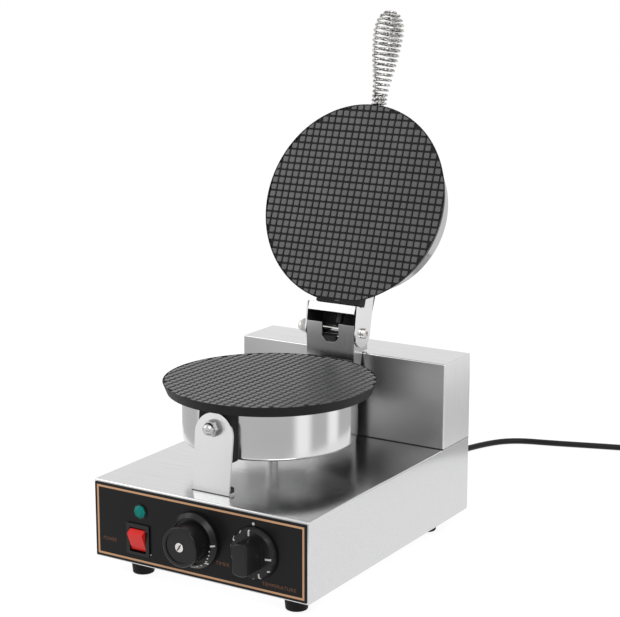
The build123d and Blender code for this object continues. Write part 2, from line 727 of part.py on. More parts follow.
def timer_knob():
    """Round timer knob: a bevelled skirt and a tall grip with a dished face."""
    x, z = TIMER_X, FOOT_H + KNOB_Z
    front = FRONT_Y - KNOB_REACH
    skirt_y = PANEL_Y - KNOB_GAP - TIMER_RIM_T - TIMER_BEVEL_T
    root_y = skirt_y + TIMER_BEVEL_T / 2
    knob = knob_skirt(x, TIMER_SKIRT_R, TIMER_RIM_T, TIMER_FACE_R, TIMER_BEVEL_T)
    groove = rod(TIMER_FACE_R - TIMER_GROOVE, (x, skirt_y - 1, z), (x, root_y, z))
    grip = rod(TIMER_GRIP_R, (x, front, z), (x, root_y, z))
    grip = fillet(grip.edges().sort_by(Axis.Y)[0], 1.5)
    dish_r = TIMER_GRIP_R - TIMER_DISH_RIM
    dish = rod(dish_r, (x, front - 1, z), (x, front + TIMER_DISH_DEPTH, z))
    knob = knob - groove + grip - dish
    knob = knob - rod(SHAFT_R, (x, PANEL_Y - SHAFT_OUT, z), (x, PANEL_Y, z))
    return knob - rod(KNOB_SCREW_R, (x, front - 1, z), (x, front + KNOB_SCREW_L, z))


def timer_knob_screw():
    """Bright slotted screw in the middle of the timer knob."""
    seat = FRONT_Y - KNOB_REACH + TIMER_DISH_DEPTH
    length = KNOB_SCREW_L - 2 * TIMER_DISH_DEPTH
    shape = screw(KNOB_SCREW_R, length, *KNOB_SCREW_HEAD)
    return facing((TIMER_X, seat, FOOT_H + KNOB_Z), (0, -1, 0), shape)


def thermostat_knob():
    """Pointer knob: a bevelled skirt and an upright bar grip, wider at its foot."""
    x, z = THERMOSTAT_X, FOOT_H + KNOB_Z
    front = FRONT_Y - KNOB_REACH + 1
    skirt_y = PANEL_Y - KNOB_GAP - THERMOSTAT_RIM_T - THERMOSTAT_BEVEL_T
    knob = knob_skirt(x, THERMOSTAT_SKIRT_R, THERMOSTAT_RIM_T, THERMOSTAT_FACE_R, THERMOSTAT_BEVEL_T)
    half, foot = POINTER_W / 2, POINTER_FOOT_W / 2
    outline = [(x - half, front), (x + half, front), (x + foot, skirt_y + 1), (x - foot, skirt_y + 1)]
    wedge = extrude(make_face(Polyline(*outline, close=True)), amount=2 * POINTER_R)
    grip = Pos(0, 0, z - POINTER_R) * wedge & rod(POINTER_R, (x, front, z), (x, skirt_y + 1, z))
    knob = knob + fillet(grip.edges().group_by(Axis.Y)[0], POINTER_BEND_R)
    return knob - rod(SHAFT_R, (x, PANEL_Y - SHAFT_OUT, z), (x, PANEL_Y, z))


def thermostat_capillary():
    """Copper sensing tube from the thermostat up to its bulb under the lower plate."""
    z, level = FOOT_H + KNOB_Z, LOWER_BACK_Z - BULB_R - BULB_GAP
    start = (THERMOSTAT_X, FRONT_Y + SHEET + CONTROL_DEPTH, z)
    bulb_back, bulb_tip = lead_way(BULB_SET + BULB_L, level), lead_way(BULB_SET, level)
    route = [
        start, (THERMOSTAT_X, PLATE_Y, z), lead_way(SLEEVE_R_SET, z),
        lead_way(SLEEVE_R_SET, level), bulb_back,
    ]
    path = FilletPolyline(*route, radius=CAPILLARY_BENDS)
    section = Plane(origin=start, z_dir=(0, 1, 0)) * Circle(CAPILLARY_R)
    return sweep(section, path=path) + rod(BULB_R, bulb_back, bulb_tip)


# Front upright
def upright_plane(up=0.0):
    """Plane on the upright's front face, facing the operator, at a height up its slope."""
    lean = radians(UPRIGHT_LEAN)
    origin = (0, FRONT_Y + UPRIGHT_SET + up * sin(lean), TOP_Z + up * cos(lean))
    return Plane(origin=origin, x_dir=(1, 0, 0), z_dir=(0, -cos(lean), sin(lean)))


def front_upright():
    """Leaning stainless upright with a round top and a foot screwed to the base."""
    half, top = UPRIGHT_FOOT_W / 2, UPRIGHT_H - UPRIGHT_W / 2
    corners = [(-half, 0), (half, 0), (UPRIGHT_W / 2, top), (-UPRIGHT_W / 2, top)]
    outline = make_face(Polyline(*corners, close=True)) + Pos(0, top) * Circle(UPRIGHT_W / 2)
    plate = extrude(upright_plane() * outline, amount=-UPRIGHT_T)
    y = FRONT_Y + UPRIGHT_SET
    foot = block(-half, half, y, y + UPRIGHT_FOOT + UPRIGHT_T, TOP_Z, TOP_Z + UPRIGHT_T)
    plate = drilled(plate + foot, upright_foot_points(), (0, 0, 1), M4_R + HOLE_GAP)
    hole = upright_plane(STUD_H) * Cylinder(M8_R + HOLE_GAP, UPRIGHT_T * 6)
    below = block(-half, half, y - UPRIGHT_T, y + UPRIGHT_FOOT, TOP_Z - UPRIGHT_T, TOP_Z)
    return plate - hole - below


def front_stud():
    """Threaded stud from the front lug of the lower plate through the upright."""
    reach = UPRIGHT_T + STUD_DEPTH
    shape = Cylinder(M8_R, reach + STUD_THREAD_OUT, align=UP)
    return upright_plane(STUD_H) * Pos(0, 0, -reach) * shape


def front_washer():
    """Washer under the front cap nut."""
    return upright_plane(STUD_H) * washer(WASHER_R, M8_R, WASHER_T)


def front_cap_nut():
    """Cap nut that clamps the lower plate to the upright."""
    shape = cap_nut(M8_FLATS, M8_FLATS / 2, DOME_R, STUD_THREAD_OUT - WASHER_T, M8_R)
    return upright_plane(STUD_H) * Pos(0, 0, WASHER_T) * shape


# Plates and drums, drawn upwards from the back of a plate with the face on top
def plate_disc(back_z, up):
    """A baking plate with its hinge-side tab; up is 1 with the face on top, -1 below."""
    disc = Cone(PLATE_R - PLATE_DRAFT, PLATE_R, PLATE_T, align=UP)
    disc = disc + block(-TAB_LEFT, TAB_RIGHT, PLATE_R / 2, TAB_REACH, 0, PLATE_T)
    if up < 0:
        disc = disc.mirror(Plane.XY)
    return Pos(0, PLATE_Y, back_z) * disc


def drum_solid(extra=0.0):
    """The lower drum's full outer cylinder, grown by a clearance."""
    return rod(DRUM_R + extra, (0, PLATE_Y, LOWER_DRUM_Z - 1), (0, PLATE_Y, LOWER_BACK_Z))


def lower_plate():
    """Lower cast plate: disc, front and rear lugs, and the boss for the drum's screw."""
    plate = plate_disc(LOWER_BACK_Z, 1)
    half, front = UPRIGHT_FOOT_W / 2 - LUG_SIDE, FRONT_Y + UPRIGHT_SET
    lug = block(-half, half, front, PLATE_Y, LOWER_DRUM_Z, LOWER_BACK_Z)
    size = 2 * BASE_D
    behind = upright_plane() * Pos(0, 0, -UPRIGHT_T - size / 2) * Box(size, size, size)
    lug = (lug & behind) - drum_solid(SHEET_GAP)
    lug = lug - upright_plane(STUD_H) * Cylinder(M8_R + THREAD_GAP, 2 * (UPRIGHT_T + STUD_DEPTH))
    x0, x1 = HINGE_X - REAR_LUG_W / 2, HINGE_X + REAR_LUG_W / 2
    rear = block(x0, x1, PLATE_Y, BRACKET_Y, LOWER_BACK_Z - REAR_LUG_H, LOWER_BACK_Z)
    rear = rear - drum_solid(SHEET_GAP)
    bolt = rod(M8_R + THREAD_GAP, rear_bolt_point(-REAR_BOLT_DEPTH - 1), rear_bolt_point(BRACKET_T))
    boss = rod(BOSS_R, (0, PLATE_Y, LOWER_DRUM_Z + DRUM_SHEET), (0, PLATE_Y, LOWER_BACK_Z))
    thread = drum_thread(LOWER_DRUM_Z, 1)
    return plate + lug + (rear - bolt) + (boss - thread)


def drum_thread(floor_z, up):
    """Threaded hole in a plate's boss, from just outside the drum's floor."""
    start, end = (0, PLATE_Y, floor_z - up), (0, PLATE_Y, floor_z + up * DRUM_THREAD_DEPTH)
    return rod(M6_R + THREAD_GAP, start, end)


def rear_bolt_point(depth):
    """A point on the axis of the rear bolt, measured back from the bracket's front face."""
    return (HINGE_X + REAR_BOLT_SIDE, BRACKET_Y + depth, LOWER_BACK_Z - REAR_LUG_H / 2)


def drum(floor_z, back_z):
    """A spun drum from its floor to the back of its plate, as a cup."""
    height = abs(back_z - floor_z)
    cup = Cylinder(DRUM_R, height, align=UP)
    cup = fillet(cup.edges().sort_by(Axis.Z)[0], DRUM_BEND_R)
    cup = cup - Pos(0, 0, DRUM_SHEET) * Cylinder(DRUM_R - DRUM_SHEET, height, align=UP)
    cup = cup - Cylinder(M6_R + HOLE_GAP, DRUM_SHEET * 4)
    if back_z < floor_z:
        cup = cup.mirror(Plane.XY)
    return Pos(0, PLATE_Y, floor_z) * cup


def lower_drum():
    """Stainless drum under the lower plate, with a hole for the heater leads."""
    hole = lead_bore(LEAD_HOLE_R, LOWER_DRUM_Z - BORE_REACH, LOWER_DRUM_Z + BORE_REACH)
    return drum(LOWER_DRUM_Z, LOWER_BACK_Z) - hole


def drum_screw(floor_z, direction):
    """Screw in the middle of a drum's floor, into the plate's boss."""
    shape = screw(M6_R, DRUM_SCREW_L, *M6_HEAD)
    return facing((0, PLATE_Y, floor_z), (0, 0, direction), shape)


def heater(back_z, up, turn):
    """Tubular heating element: an open ring with its two ends turned away from the plate."""
    level = back_z - up * (HEATER_R + HEATER_GAP)
    ring = CenterArc((0, 0), DRUM_R - HEATER_INSET, turn + HEATER_OPENING / 2, 360 - HEATER_OPENING)
    section = Plane(origin=ring @ 0, z_dir=ring % 0) * Circle(HEATER_R)
    bar = Pos(0, PLATE_Y, level) * sweep(section, path=ring)
    for end in (ring @ 0, ring @ 1):
        x, y = end.X, PLATE_Y + end.Y
        bar = bar + Pos(x, y, level) * Sphere(HEATER_R)
        bar = bar + rod(HEATER_R, (x, y, level), (x, y, level - up * HEATER_END_L))
    return bar


def insulation(floor_z, up, depth, turn):
    """Mineral-wool disc on the floor of a drum, holed for the boss and the leads."""
    z0 = floor_z + up * (DRUM_SHEET + WOOL_GAP)
    z1 = z0 + up * depth
    disc = rod(DRUM_R - DRUM_SHEET - WOOL_GAP, (0, PLATE_Y, z0), (0, PLATE_Y, z1))
    disc = disc - rod(BOSS_R + WOOL_GAP, (0, PLATE_Y, z0), (0, PLATE_Y, z1))
    return disc - lead_bore(LEAD_HOLE_R, z0, z1, turn)


def lower_lead_conduit():
    """Short black conduit that carries the leads from the base to the lower drum."""
    low, high = TOP_Z - SLEEVE_DEPTH, LOWER_DRUM_Z
    return lead_bore(SLEEVE_R, low, high) - lead_bore(LEAD_HOLE_R, low, high)


# Hinge, fixed side
def hinge_bracket():
    """Channel that stands between the lower drum and the housing and holds the hinge pin.

    Its sides are narrow below, widen towards the housing's top and reach back over it.
    """
    half, top = BRACKET_W / 2, HINGE_Z + BRACKET_TOP
    y0, narrow, wide = BRACKET_Y, BRACKET_Y + CHANNEL_FOOT_D, HOUSING_Y - CHANNEL_GAP
    shelf, (stop_y, stop_z) = HOUSING_TOP + SIDE_CLEAR, stop_edge()
    y1, eye = stop_y + STOP_T / 2, HINGE_Y + SIDE_EYE
    side = [
        (y0, TOP_Z), (narrow, TOP_Z), (narrow, HOUSING_TOP - CHANNEL_TAPER), (wide, HOUSING_TOP),
        (wide, shelf), (y1, shelf), (y1, stop_z), (eye, HINGE_Z), (eye, top), (y0, top),
    ]
    x0, x1 = HINGE_X - half, HINGE_X + half
    bracket = block(x0, x1, y0, y0 + BRACKET_T, TOP_Z, top)
    bracket = bracket + block(x0, x1, y1 - STOP_T, y1, shelf, stop_z)
    for x in (x0, x1 - BRACKET_T):
        bracket = bracket + side_plate(side, x, x + BRACKET_T)
    foot = block(x0, x1, y0 - BRACKET_FOOT, y0, TOP_Z, TOP_Z + BRACKET_T)
    bracket = drilled(bracket + foot, bracket_foot_points(), (0, 0, 1), M4_R + HOLE_GAP)
    bracket = bracket - bracket_notch(top)
    bracket = bracket - rod(M8_R + HOLE_GAP, rear_bolt_point(-1), rear_bolt_point(BRACKET_T + 1))
    return bracket - pin_bore(half + 1, 0)


def stop_edge():
    """Top middle of the ledge that the cover's tongue comes down on when the lid is fully open."""
    dy, dz = turned(COVER_TONGUE, COVER_RISE + COVER_T)
    return HINGE_Y + dy, HINGE_Z + dz - STOP_GAP


def pin_spacer():
    """Steel tube round the hinge pin, between the channel's sides."""
    reach = BRACKET_W / 2 - BRACKET_T - SPACER_GAP
    start, end = (HINGE_X - reach, HINGE_Y, HINGE_Z), (HINGE_X + reach, HINGE_Y, HINGE_Z)
    return tube(SPACER_R, PIN_R + RUN_FIT, start, end)


def pin_bore(reach, gap):
    """Hole for the hinge pin, out to a reach on both sides."""
    return rod(PIN_R + gap, (HINGE_X - reach, HINGE_Y, HINGE_Z), (HINGE_X + reach, HINGE_Y, HINGE_Z))


def bracket_notch(top):
    """Slot in the top of the bracket's web, where the lid's leads pass when it is shut."""
    half, low = NOTCH_W / 2, top - NOTCH_DEPTH
    outline = [
        (HINGE_X - half, top + 1), (HINGE_X - half, low + NOTCH_BEVEL), (HINGE_X - half / 2, low),
        (HINGE_X + half / 2, low), (HINGE_X + half, low + NOTCH_BEVEL), (HINGE_X + half, top + 1),
    ]
    face = Plane.XZ * make_face(Polyline(*outline, close=True))
    return Pos(0, BRACKET_Y + BRACKET_T + 1, 0) * extrude(face, amount=BRACKET_T + 2, dir=(0, -1, 0))


def pin_end(side):
    """The x position of the yoke's outer face on one side, plus the running gap."""
    return HINGE_X + side * (BRACKET_W / 2 + SIDE_GAP + EAR_T + PIN_HEAD_GAP)


def hinge_pin():
    """Hinge bolt: round head on the right, threaded end on the left."""
    right, left = pin_end(1), pin_end(-1) - WASHER_T - PIN_THREAD
    pin = rod(PIN_R, (left, HINGE_Y, HINGE_Z), (right, HINGE_Y, HINGE_Z))
    head = Cylinder(PIN_HEAD_R, PIN_HEAD_H, align=UP)
    head = fillet(head.edges().sort_by(Axis.Z)[-1], PIN_HEAD_H / 2)
    socket = extrude(RegularPolygon(2.5, 6, major_radius=False), amount=PIN_HEAD_H)
    head = head - Pos(0, 0, PIN_HEAD_H / 2) * socket
    return pin + facing((right, HINGE_Y, HINGE_Z), (1, 0, 0), head)


def hinge_washer():
    """Washer under the hinge bolt's nut."""
    shape = washer(WASHER_R, PIN_R, WASHER_T)
    return facing((pin_end(-1), HINGE_Y, HINGE_Z), (-1, 0, 0), shape)


def hinge_cap_nut():
    """Cap nut on the left end of the hinge bolt."""
    shape = cap_nut(M8_FLATS, PIN_THREAD + 0.5, DOME_R, PIN_THREAD, PIN_R)
    return facing((pin_end(-1) - WASHER_T, HINGE_Y, HINGE_Z), (-1, 0, 0), shape)


def rear_lug_bolt():
    """Hexagon bolt from inside the channel into the rear lug of the lower plate."""
    shank = rod(M8_R, rear_bolt_point(-REAR_BOLT_DEPTH), rear_bolt_point(BRACKET_T))
    head = RegularPolygon(M8_FLATS / 2, 6, major_radius=False)
    head = extrude(head, amount=REAR_BOLT_HEAD_H)
    return shank + facing(rear_bolt_point(BRACKET_T), (0, 1, 0), head)


def bracket_lead_sleeve():
    """Flat black sleeve up the channel, for the leads that go on to the lid."""
    top = lid_sleeve_ends()[1][2] - LEAD_SLEEVE_R - SPACER_GAP
    low = TOP_Z + HOLE_GAP
    section = SlotOverall(*RISER_SIZE) - SlotOverall(*RISER_BORE)
    y = BRACKET_Y + BRACKET_T + RISER_SIZE[1] / 2 + SPACER_GAP
    return Pos(HINGE_X - RISER_SIDE, y, low) * extrude(section, amount=top - low)


# Lid, drawn closed
def hinge_yoke():
    """Upper hinge bracket: two ears joined by a stepped web on the upper plate's tab."""
    inner = BRACKET_W / 2 + SIDE_GAP
    x0, x1 = HINGE_X - inner, HINGE_X + inner
    back = PLATE_Y + TAB_REACH + YOKE_GAP
    end = BRACKET_Y - YOKE_CLEAR
    low, base, top = UPPER_BACK_Z - YOKE_DROP, UPPER_BACK_Z, UPPER_BACK_Z + YOKE_RISE
    front = PLATE_Y + DRUM_R - EAR_LAP
    ear = [
        (front, base), (back, base), (back, low), (HINGE_Y, HINGE_Z - EAR_R),
        (HINGE_Y, HINGE_Z + EAR_R), (front, top),
    ]
    yoke = block(x0, x1, PLATE_Y + DRUM_R + 1, back + EAR_T, base, base + EAR_T)
    yoke = yoke + block(x0, x1, back, back + EAR_T, low, base + EAR_T)
    yoke = yoke + block(x0, x1, back, end, low, low + EAR_T)
    for x in (x0 - EAR_T, x1):
        yoke = yoke + side_plate(ear, x, x + EAR_T)
        yoke = yoke + rod(EAR_R, (x, HINGE_Y, HINGE_Z), (x + EAR_T, HINGE_Y, HINGE_Z))
    for xa, xb in ((x0, x0 + RELIEF_W), (x1 - RELIEF_W, x1)):
        yoke = yoke - block(xa, xb, back - 1, end + 1, low - 1, base + 1)
    yoke = yoke - pin_bore(BRACKET_W, RUN_FIT)
    return drilled(yoke, yoke_points(), (0, 0, 1), M6_R + HOLE_GAP)


def yoke_points():
    """Screws that hold the yoke to the tab of the upper plate."""
    x, y = BRACKET_W / 2 - YOKE_SCREW_INSET, PLATE_Y + (DRUM_R + TAB_REACH) / 2 + 1
    return [(HINGE_X + side * x, y, UPPER_BACK_Z + EAR_T) for side in (-1, 1)]


def upper_plate():
    """Upper cast plate, face down, with a boss for the drum and a lug for the handle."""
    plate = plate_disc(UPPER_BACK_Z, -1)
    boss = rod(BOSS_R, (0, PLATE_Y, UPPER_BACK_Z), (0, PLATE_Y, UPPER_DRUM_Z - DRUM_SHEET))
    half, front = HANDLE_LUG_W / 2, PLATE_Y - PLATE_R + HANDLE_LUG_SET
    lug = block(-half, half, front, PLATE_Y, UPPER_BACK_Z, UPPER_BACK_Z + HANDLE_LUG_H)
    lug = lug - rod(DRUM_R + SHEET_GAP, (0, PLATE_Y, UPPER_BACK_Z), (0, PLATE_Y, UPPER_DRUM_Z))
    lug = fillet(lug.edges().filter_by(Axis.Y).sort_by(Axis.Z)[-2:], 4)
    plate = plate + (boss - drum_thread(UPPER_DRUM_Z, -1)) + lug
    plate = plate - handle_plane() * Pos(0, 0, -PLATE_R / 2) * Cylinder(STUD_R + THREAD_GAP, PLATE_R)
    return drilled(plate, yoke_points(), (0, 0, 1), M6_R + THREAD_GAP, 2 * (YOKE_SCREW_L + 0.5))


def handle_plane():
    """Plane across the handle's axis where the coil starts, pointing to the operator."""
    droop = radians(HANDLE_DROOP)
    origin = (0, FRONT_Y + HANDLE_SET, HANDLE_Z)
    return Plane(origin=origin, x_dir=(1, 0, 0), z_dir=(0, -cos(droop), -sin(droop)))


def handle_stud():
    """Round stud screwed into the upper plate's lug; the coil is wound on to it."""
    back = PLATE_SET - sqrt(DRUM_R**2 - STUD_R**2) - HANDLE_SET - 1.5
    return handle_plane() * Pos(0, 0, -back) * Cylinder(STUD_R, back + STUD_OUT, align=UP)


def handle_coil():
    """Open coil of plated wire, swelling from its neck and closing at its tip."""
    edges, z, radius, turn, pitch = [], 0.0, NECK_R, 90.0, NECK_PITCH
    for end_z, end_r in COIL_STEPS:
        height = end_z - z
        slope = degrees(atan2(end_r - radius, height))
        helix = Helix(pitch, height, radius, center=(0, 0, z), cone_angle=slope).edges()[0]
        edges.append(helix.rotate(Axis.Z, turn))
        last = edges[-1] @ 1
        z, radius, turn, pitch = end_z, end_r, degrees(atan2(last.Y, last.X)), COIL_PITCH
    wire = Wire(edges)
    section = Plane(origin=wire @ 0, z_dir=wire % 0) * Circle(WIRE_R)
    coil = sweep(section, path=wire, is_frenet=True)
    return handle_plane() * Pos(0, 0, WIRE_R) * coil


def upper_drum():
    """Stainless drum over the upper plate, with a hole for the heater leads."""
    cup = drum(UPPER_DRUM_Z, UPPER_BACK_Z)
    start, end = lid_sleeve_ends()
    return cup - rod(LEAD_SLEEVE_R + HOLE_GAP, start, end)


def lid_sleeve_ends():
    """The two ends of the lid's lead sleeve, from inside the drum to just short of the pin."""
    x, z = HINGE_X, HINGE_Z + LID_SLEEVE_RISE
    return (x, PLATE_Y + DRUM_R - LID_SLEEVE_IN, z), (x, HINGE_Y - PIN_R - PIN_CLEAR, z)


def lid_lead_sleeve():
    """Black sleeve from the hinge into the upper drum, for the heater leads."""
    start, end = lid_sleeve_ends()
    return tube(LEAD_SLEEVE_R, LEAD_BORE_R, start, end)


def hinge_cover():
    """Black cover between the ears: it shields the leads above, and behind once the lid is up."""
    inner, tongue = BRACKET_W / 2 + SIDE_GAP, BRACKET_W / 2 - BRACKET_T - 1
    low = HINGE_Z + COVER_RISE
    y0, y1 = PLATE_Y + DRUM_R + COVER_GAP, HINGE_Y - COVER_CLEAR
    wide = block(HINGE_X - inner, HINGE_X + inner, y0, y1, low, low + COVER_T)
    narrow = block(HINGE_X - tongue, HINGE_X + tongue, y1, HINGE_Y + COVER_TONGUE, low, low + COVER_T)
    return wide + narrow


# Cord
def cord_points():
    """Route of the cord from its gland to the coil."""
    start = (GLAND_X, BACK_Y + GLAND_L, gland_z())
    return [start] + [(x, BACK_Y + back, z) for x, back, z in CORD_ROUTE] + [coil_entry()]


def coil_point(angle):
    """A point of the coil's outer turn, seen from above."""
    radius, turn = COIL_TURN_R + TURN_SPACING, radians(angle)
    return COIL_X + radius * cos(turn), BACK_Y + COIL_SET + radius * sin(turn)


def coil_entry():
    """Where the lead meets the coil, on its outer turn."""
    return (*coil_point(COIL_ENTRY_TURN), CORD_FLOOR)


def tail_points():
    """Route of the cord from the coil's top layer to the plug."""
    x, y = coil_point(COIL_EXIT_TURN)
    steps = [(x + dx, y + dy, z) for dx, dy, z in TAIL_STEPS]
    return [(x, y, 3 * CORD_FLOOR), *steps, plug_back()]


def plug_back():
    """Centre of the plug's cord end; the plug lies on the standing surface."""
    dx, dy = PLUG_OFFSET
    return (COIL_X + dx, BACK_Y + COIL_SET + dy, PLUG_R)


def arc_radii(points):
    """Largest smooth radius at each inner corner of a route."""
    radii = []
    for before, corner, after in zip(points, points[1:], points[2:]):
        run_in, run_out = Vector(*corner) - Vector(*before), Vector(*after) - Vector(*corner)
        turn = radians(run_in.get_angle(run_out))
        radii.append(0.45 * min(run_in.length, run_out.length) / tan(turn / 2))
    return radii


def cord_tube(points):
    """The cord's round tube along straight runs joined by tangent arcs."""
    path = FilletPolyline(*points, radius=arc_radii(points))
    start = Vector(*points[1]) - Vector(*points[0])
    section = Plane(origin=points[0], z_dir=start) * Circle(CORD_R)
    return sweep(section, path=path)


def cord_coil():
    """Outer shape of the put-away coil: two turns side by side, two layers high."""
    outer, inner = COIL_TURN_R + TURN_SPACING + CORD_R, COIL_TURN_R - TURN_SPACING - CORD_R
    ring = Cylinder(outer, 4 * CORD_R, align=UP) - Cylinder(inner, 20 * CORD_R)
    ring = fillet(ring.edges(), CORD_R * 0.9)
    return Pos(COIL_X, BACK_Y + COIL_SET, CORD_FLOOR - CORD_R) * ring


def cord_gland():
    """Strain relief: a neck through the rear cover and a tapered sleeve outside it."""
    x, z = GLAND_X, gland_z()
    flange_r, flange_t = GLAND_FLANGE
    neck_y = BACK_Y - SHEET - GLAND_NUT[1] - 1
    neck = rod(GLAND_NECK_R - BUSH_GAP, (x, neck_y, z), (x, BACK_Y, z))
    flange = rod(flange_r, (x, BACK_Y, z), (x, BACK_Y + flange_t, z))
    taper = Cone(*GLAND_TAPER, GLAND_L - flange_t, align=UP)
    return neck + flange + facing((x, BACK_Y + flange_t, z), (0, 1, 0), taper)


def cord_gland_nut():
    """Nut that holds the gland inside the rear cover."""
    shape = nut(*GLAND_NUT, GLAND_NECK_R - BUSH_GAP)
    return facing((GLAND_X, BACK_Y - SHEET, gland_z()), (0, -1, 0), shape)


def plug_direction():
    """The way the plug's pins point."""
    back, before = Vector(*plug_back()), Vector(*tail_points()[-2])
    way = back - before
    return Vector(way.X, way.Y, 0).normalized()


def plug_body():
    """Moulded mains plug: a round body that narrows to the cord."""
    neck_l = PLUG_L * PLUG_NECK
    taper = Cone(CORD_R + 2, PLUG_R * 0.7, neck_l, align=UP)
    body = Pos(0, 0, neck_l) * Cylinder(PLUG_R, PLUG_L - neck_l, align=UP)
    body = fillet(body.edges(), 2.5)
    return facing(plug_back(), plug_direction(), taper + body)


def plug_pins():
    """Two round brass pins."""
    across = Vector(0, 0, 1)
    way, start = plug_direction(), Vector(*plug_back())
    pins = []
    for side in (-1, 1):
        foot = start + way * PLUG_L + across * (side * PIN_SPACING / 2)
        pin = facing(foot, way, Cylinder(PLUG_PIN_R, PLUG_PIN_L, align=UP))
        pins.append(fillet(pin.edges().sort_by(lambda e: (e.center() - start).dot(way))[-1], 1.2).solid())
    return Compound(children=pins)


def parts():
    """Every piece of the machine by name, the lid's pieces still closed."""
    fixed = {
        "base_shell": base_shell(),
        "bottom_plate": bottom_plate(),
        "case_screws": case_screws(),
        "feet": feet(),
        "foot_screws": foot_screws(),
        "foot_nuts": foot_nuts(),
        "rear_housing": rear_housing(),
        "rear_cover": rear_cover(),
        "terminal_block": terminal_block(),
        "control_panel": control_panel(),
        "panel_border": panel_border(),
        "rocker_switch": rocker_switch(),
        "switch_terminals": switch_terminals(),
        "rocker_button": rocker_button(),
        "pilot_lamp_body": pilot_lamp_body(),
        "pilot_lamp_lens": pilot_lamp_lens(),
        "timer_body": control_body(TIMER_X, TIMER_CASE_W),
        "timer_shaft": control_shaft(TIMER_X),
        "timer_knob": timer_knob(),
        "timer_knob_screw": timer_knob_screw(),
        "thermostat_body": control_body(THERMOSTAT_X, THERMOSTAT_CASE_W),
        "thermostat_shaft": control_shaft(THERMOSTAT_X),
        "thermostat_knob": thermostat_knob(),
        "thermostat_capillary": thermostat_capillary(),
        "front_upright": front_upright(),
        "upright_screws": screws(upright_foot_points(), (0, 0, 1), M4_R, *UPRIGHT_SCREW),
        "front_stud": front_stud(),
        "front_washer": front_washer(),
        "front_cap_nut": front_cap_nut(),
        "lower_plate": lower_plate(),
        "lower_drum": lower_drum(),
        "lower_drum_screw": drum_screw(LOWER_DRUM_Z, -1),
        "lower_heater": heater(LOWER_BACK_Z, 1, SLEEVE_TURN),
        "lower_insulation": insulation(LOWER_DRUM_Z, 1, WOOL_T, SLEEVE_TURN),
        "lower_lead_conduit": lower_lead_conduit(),
        "hinge_bracket": hinge_bracket(),
        "pin_spacer": pin_spacer(),
        "rear_lug_bolt": rear_lug_bolt(),
        "bracket_lead_sleeve": bracket_lead_sleeve(),
        "hinge_pin": hinge_pin(),
        "hinge_washer": hinge_washer(),
        "hinge_cap_nut": hinge_cap_nut(),
        "cord_gland": cord_gland(),
        "cord_gland_nut": cord_gland_nut(),
        "cord_lead": cord_tube(cord_points()),
        "cord_coil": cord_coil(),
        "cord_tail": cord_tube(tail_points()),
        "plug_body": plug_body(),
        "plug_pins": plug_pins(),
    }
    lid = {
        "upper_plate": upper_plate(),
        "upper_drum": upper_drum(),
        "upper_drum_screw": drum_screw(UPPER_DRUM_Z, 1),
        "upper_heater": heater(UPPER_BACK_Z, -1, 90),
        "upper_insulation": insulation(UPPER_DRUM_Z, -1, UPPER_WOOL_T, 90),
        "hinge_yoke": hinge_yoke(),
        "yoke_screws": screws(yoke_points(), (0, 0, 1), M6_R, YOKE_SCREW_L, *YOKE_SCREW_HEAD),
        "lid_lead_sleeve": lid_lead_sleeve(),
        "hinge_cover": hinge_cover(),
        "handle_stud": handle_stud(),
        "handle_coil": handle_coil(),
    }
    opened_lid = {name: piece.rotate(HINGE_AXIS, -OPEN_ANGLE) for name, piece in lid.items()}
    return fixed | opened_lid


def main():
    """Writes one STEP file per piece and prints the facts a reader may want."""
    os.makedirs("parts", exist_ok=True)
    for name, piece in parts().items():
        export_step(piece, f"parts/{name}.step")
    print("front face y", round(FRONT_Y, 3), "hinge axis y z", round(HINGE_Y, 3), round(HINGE_Z, 3))
    for label, points in (("lead", cord_points()), ("tail", tail_points())):
        print(label, "radii", [round(r, 1) for r in arc_radii(points)])
        path = FilletPolyline(*points, radius=arc_radii(points))
        print(label, "length", round(path.length, 1))


main()
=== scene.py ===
"""Looks of the electric krumkake iron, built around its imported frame.

Blender works in metres. Sizes here are in millimetres, and MM, mm() or front_point() turns them into
metres; lamps, the floor and the tent are in metres. +X is to the operator's right, +Y away from the
operator, +Z up, as in the frame.
"""

import json
import math

import bmesh
import bpy
from mathutils import Matrix, Vector


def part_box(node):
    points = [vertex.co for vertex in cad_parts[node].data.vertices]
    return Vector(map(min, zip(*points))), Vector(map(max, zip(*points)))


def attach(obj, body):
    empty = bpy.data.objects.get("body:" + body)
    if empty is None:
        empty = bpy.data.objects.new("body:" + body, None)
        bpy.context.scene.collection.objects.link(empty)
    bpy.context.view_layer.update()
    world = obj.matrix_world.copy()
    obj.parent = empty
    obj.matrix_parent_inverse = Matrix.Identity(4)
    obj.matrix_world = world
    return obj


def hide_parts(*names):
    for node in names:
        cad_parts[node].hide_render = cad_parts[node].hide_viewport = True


MM = 0.001

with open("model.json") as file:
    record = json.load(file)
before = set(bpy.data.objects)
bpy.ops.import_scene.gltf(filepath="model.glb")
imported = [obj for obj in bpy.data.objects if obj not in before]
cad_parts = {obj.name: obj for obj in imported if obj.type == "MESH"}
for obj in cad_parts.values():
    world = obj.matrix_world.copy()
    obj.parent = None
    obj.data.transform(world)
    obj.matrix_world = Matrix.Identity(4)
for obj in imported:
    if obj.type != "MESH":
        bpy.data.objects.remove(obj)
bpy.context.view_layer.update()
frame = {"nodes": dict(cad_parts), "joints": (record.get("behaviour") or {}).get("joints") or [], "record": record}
BODY_OF = {node: body for body, nodes in frame["record"]["behaviour"]["bodies"].items() for node in nodes}
SLOT_OF = {part["node"]: part["material_slot"] for part in frame["record"]["subparts"]}
LID_HINGE = next(joint for joint in frame["joints"] if joint["name"] == "lid_hinge")
HINGE = Vector(LID_HINGE["pos_m"])
OPEN_ANGLE = math.radians(LID_HINGE["range_deg"][1])
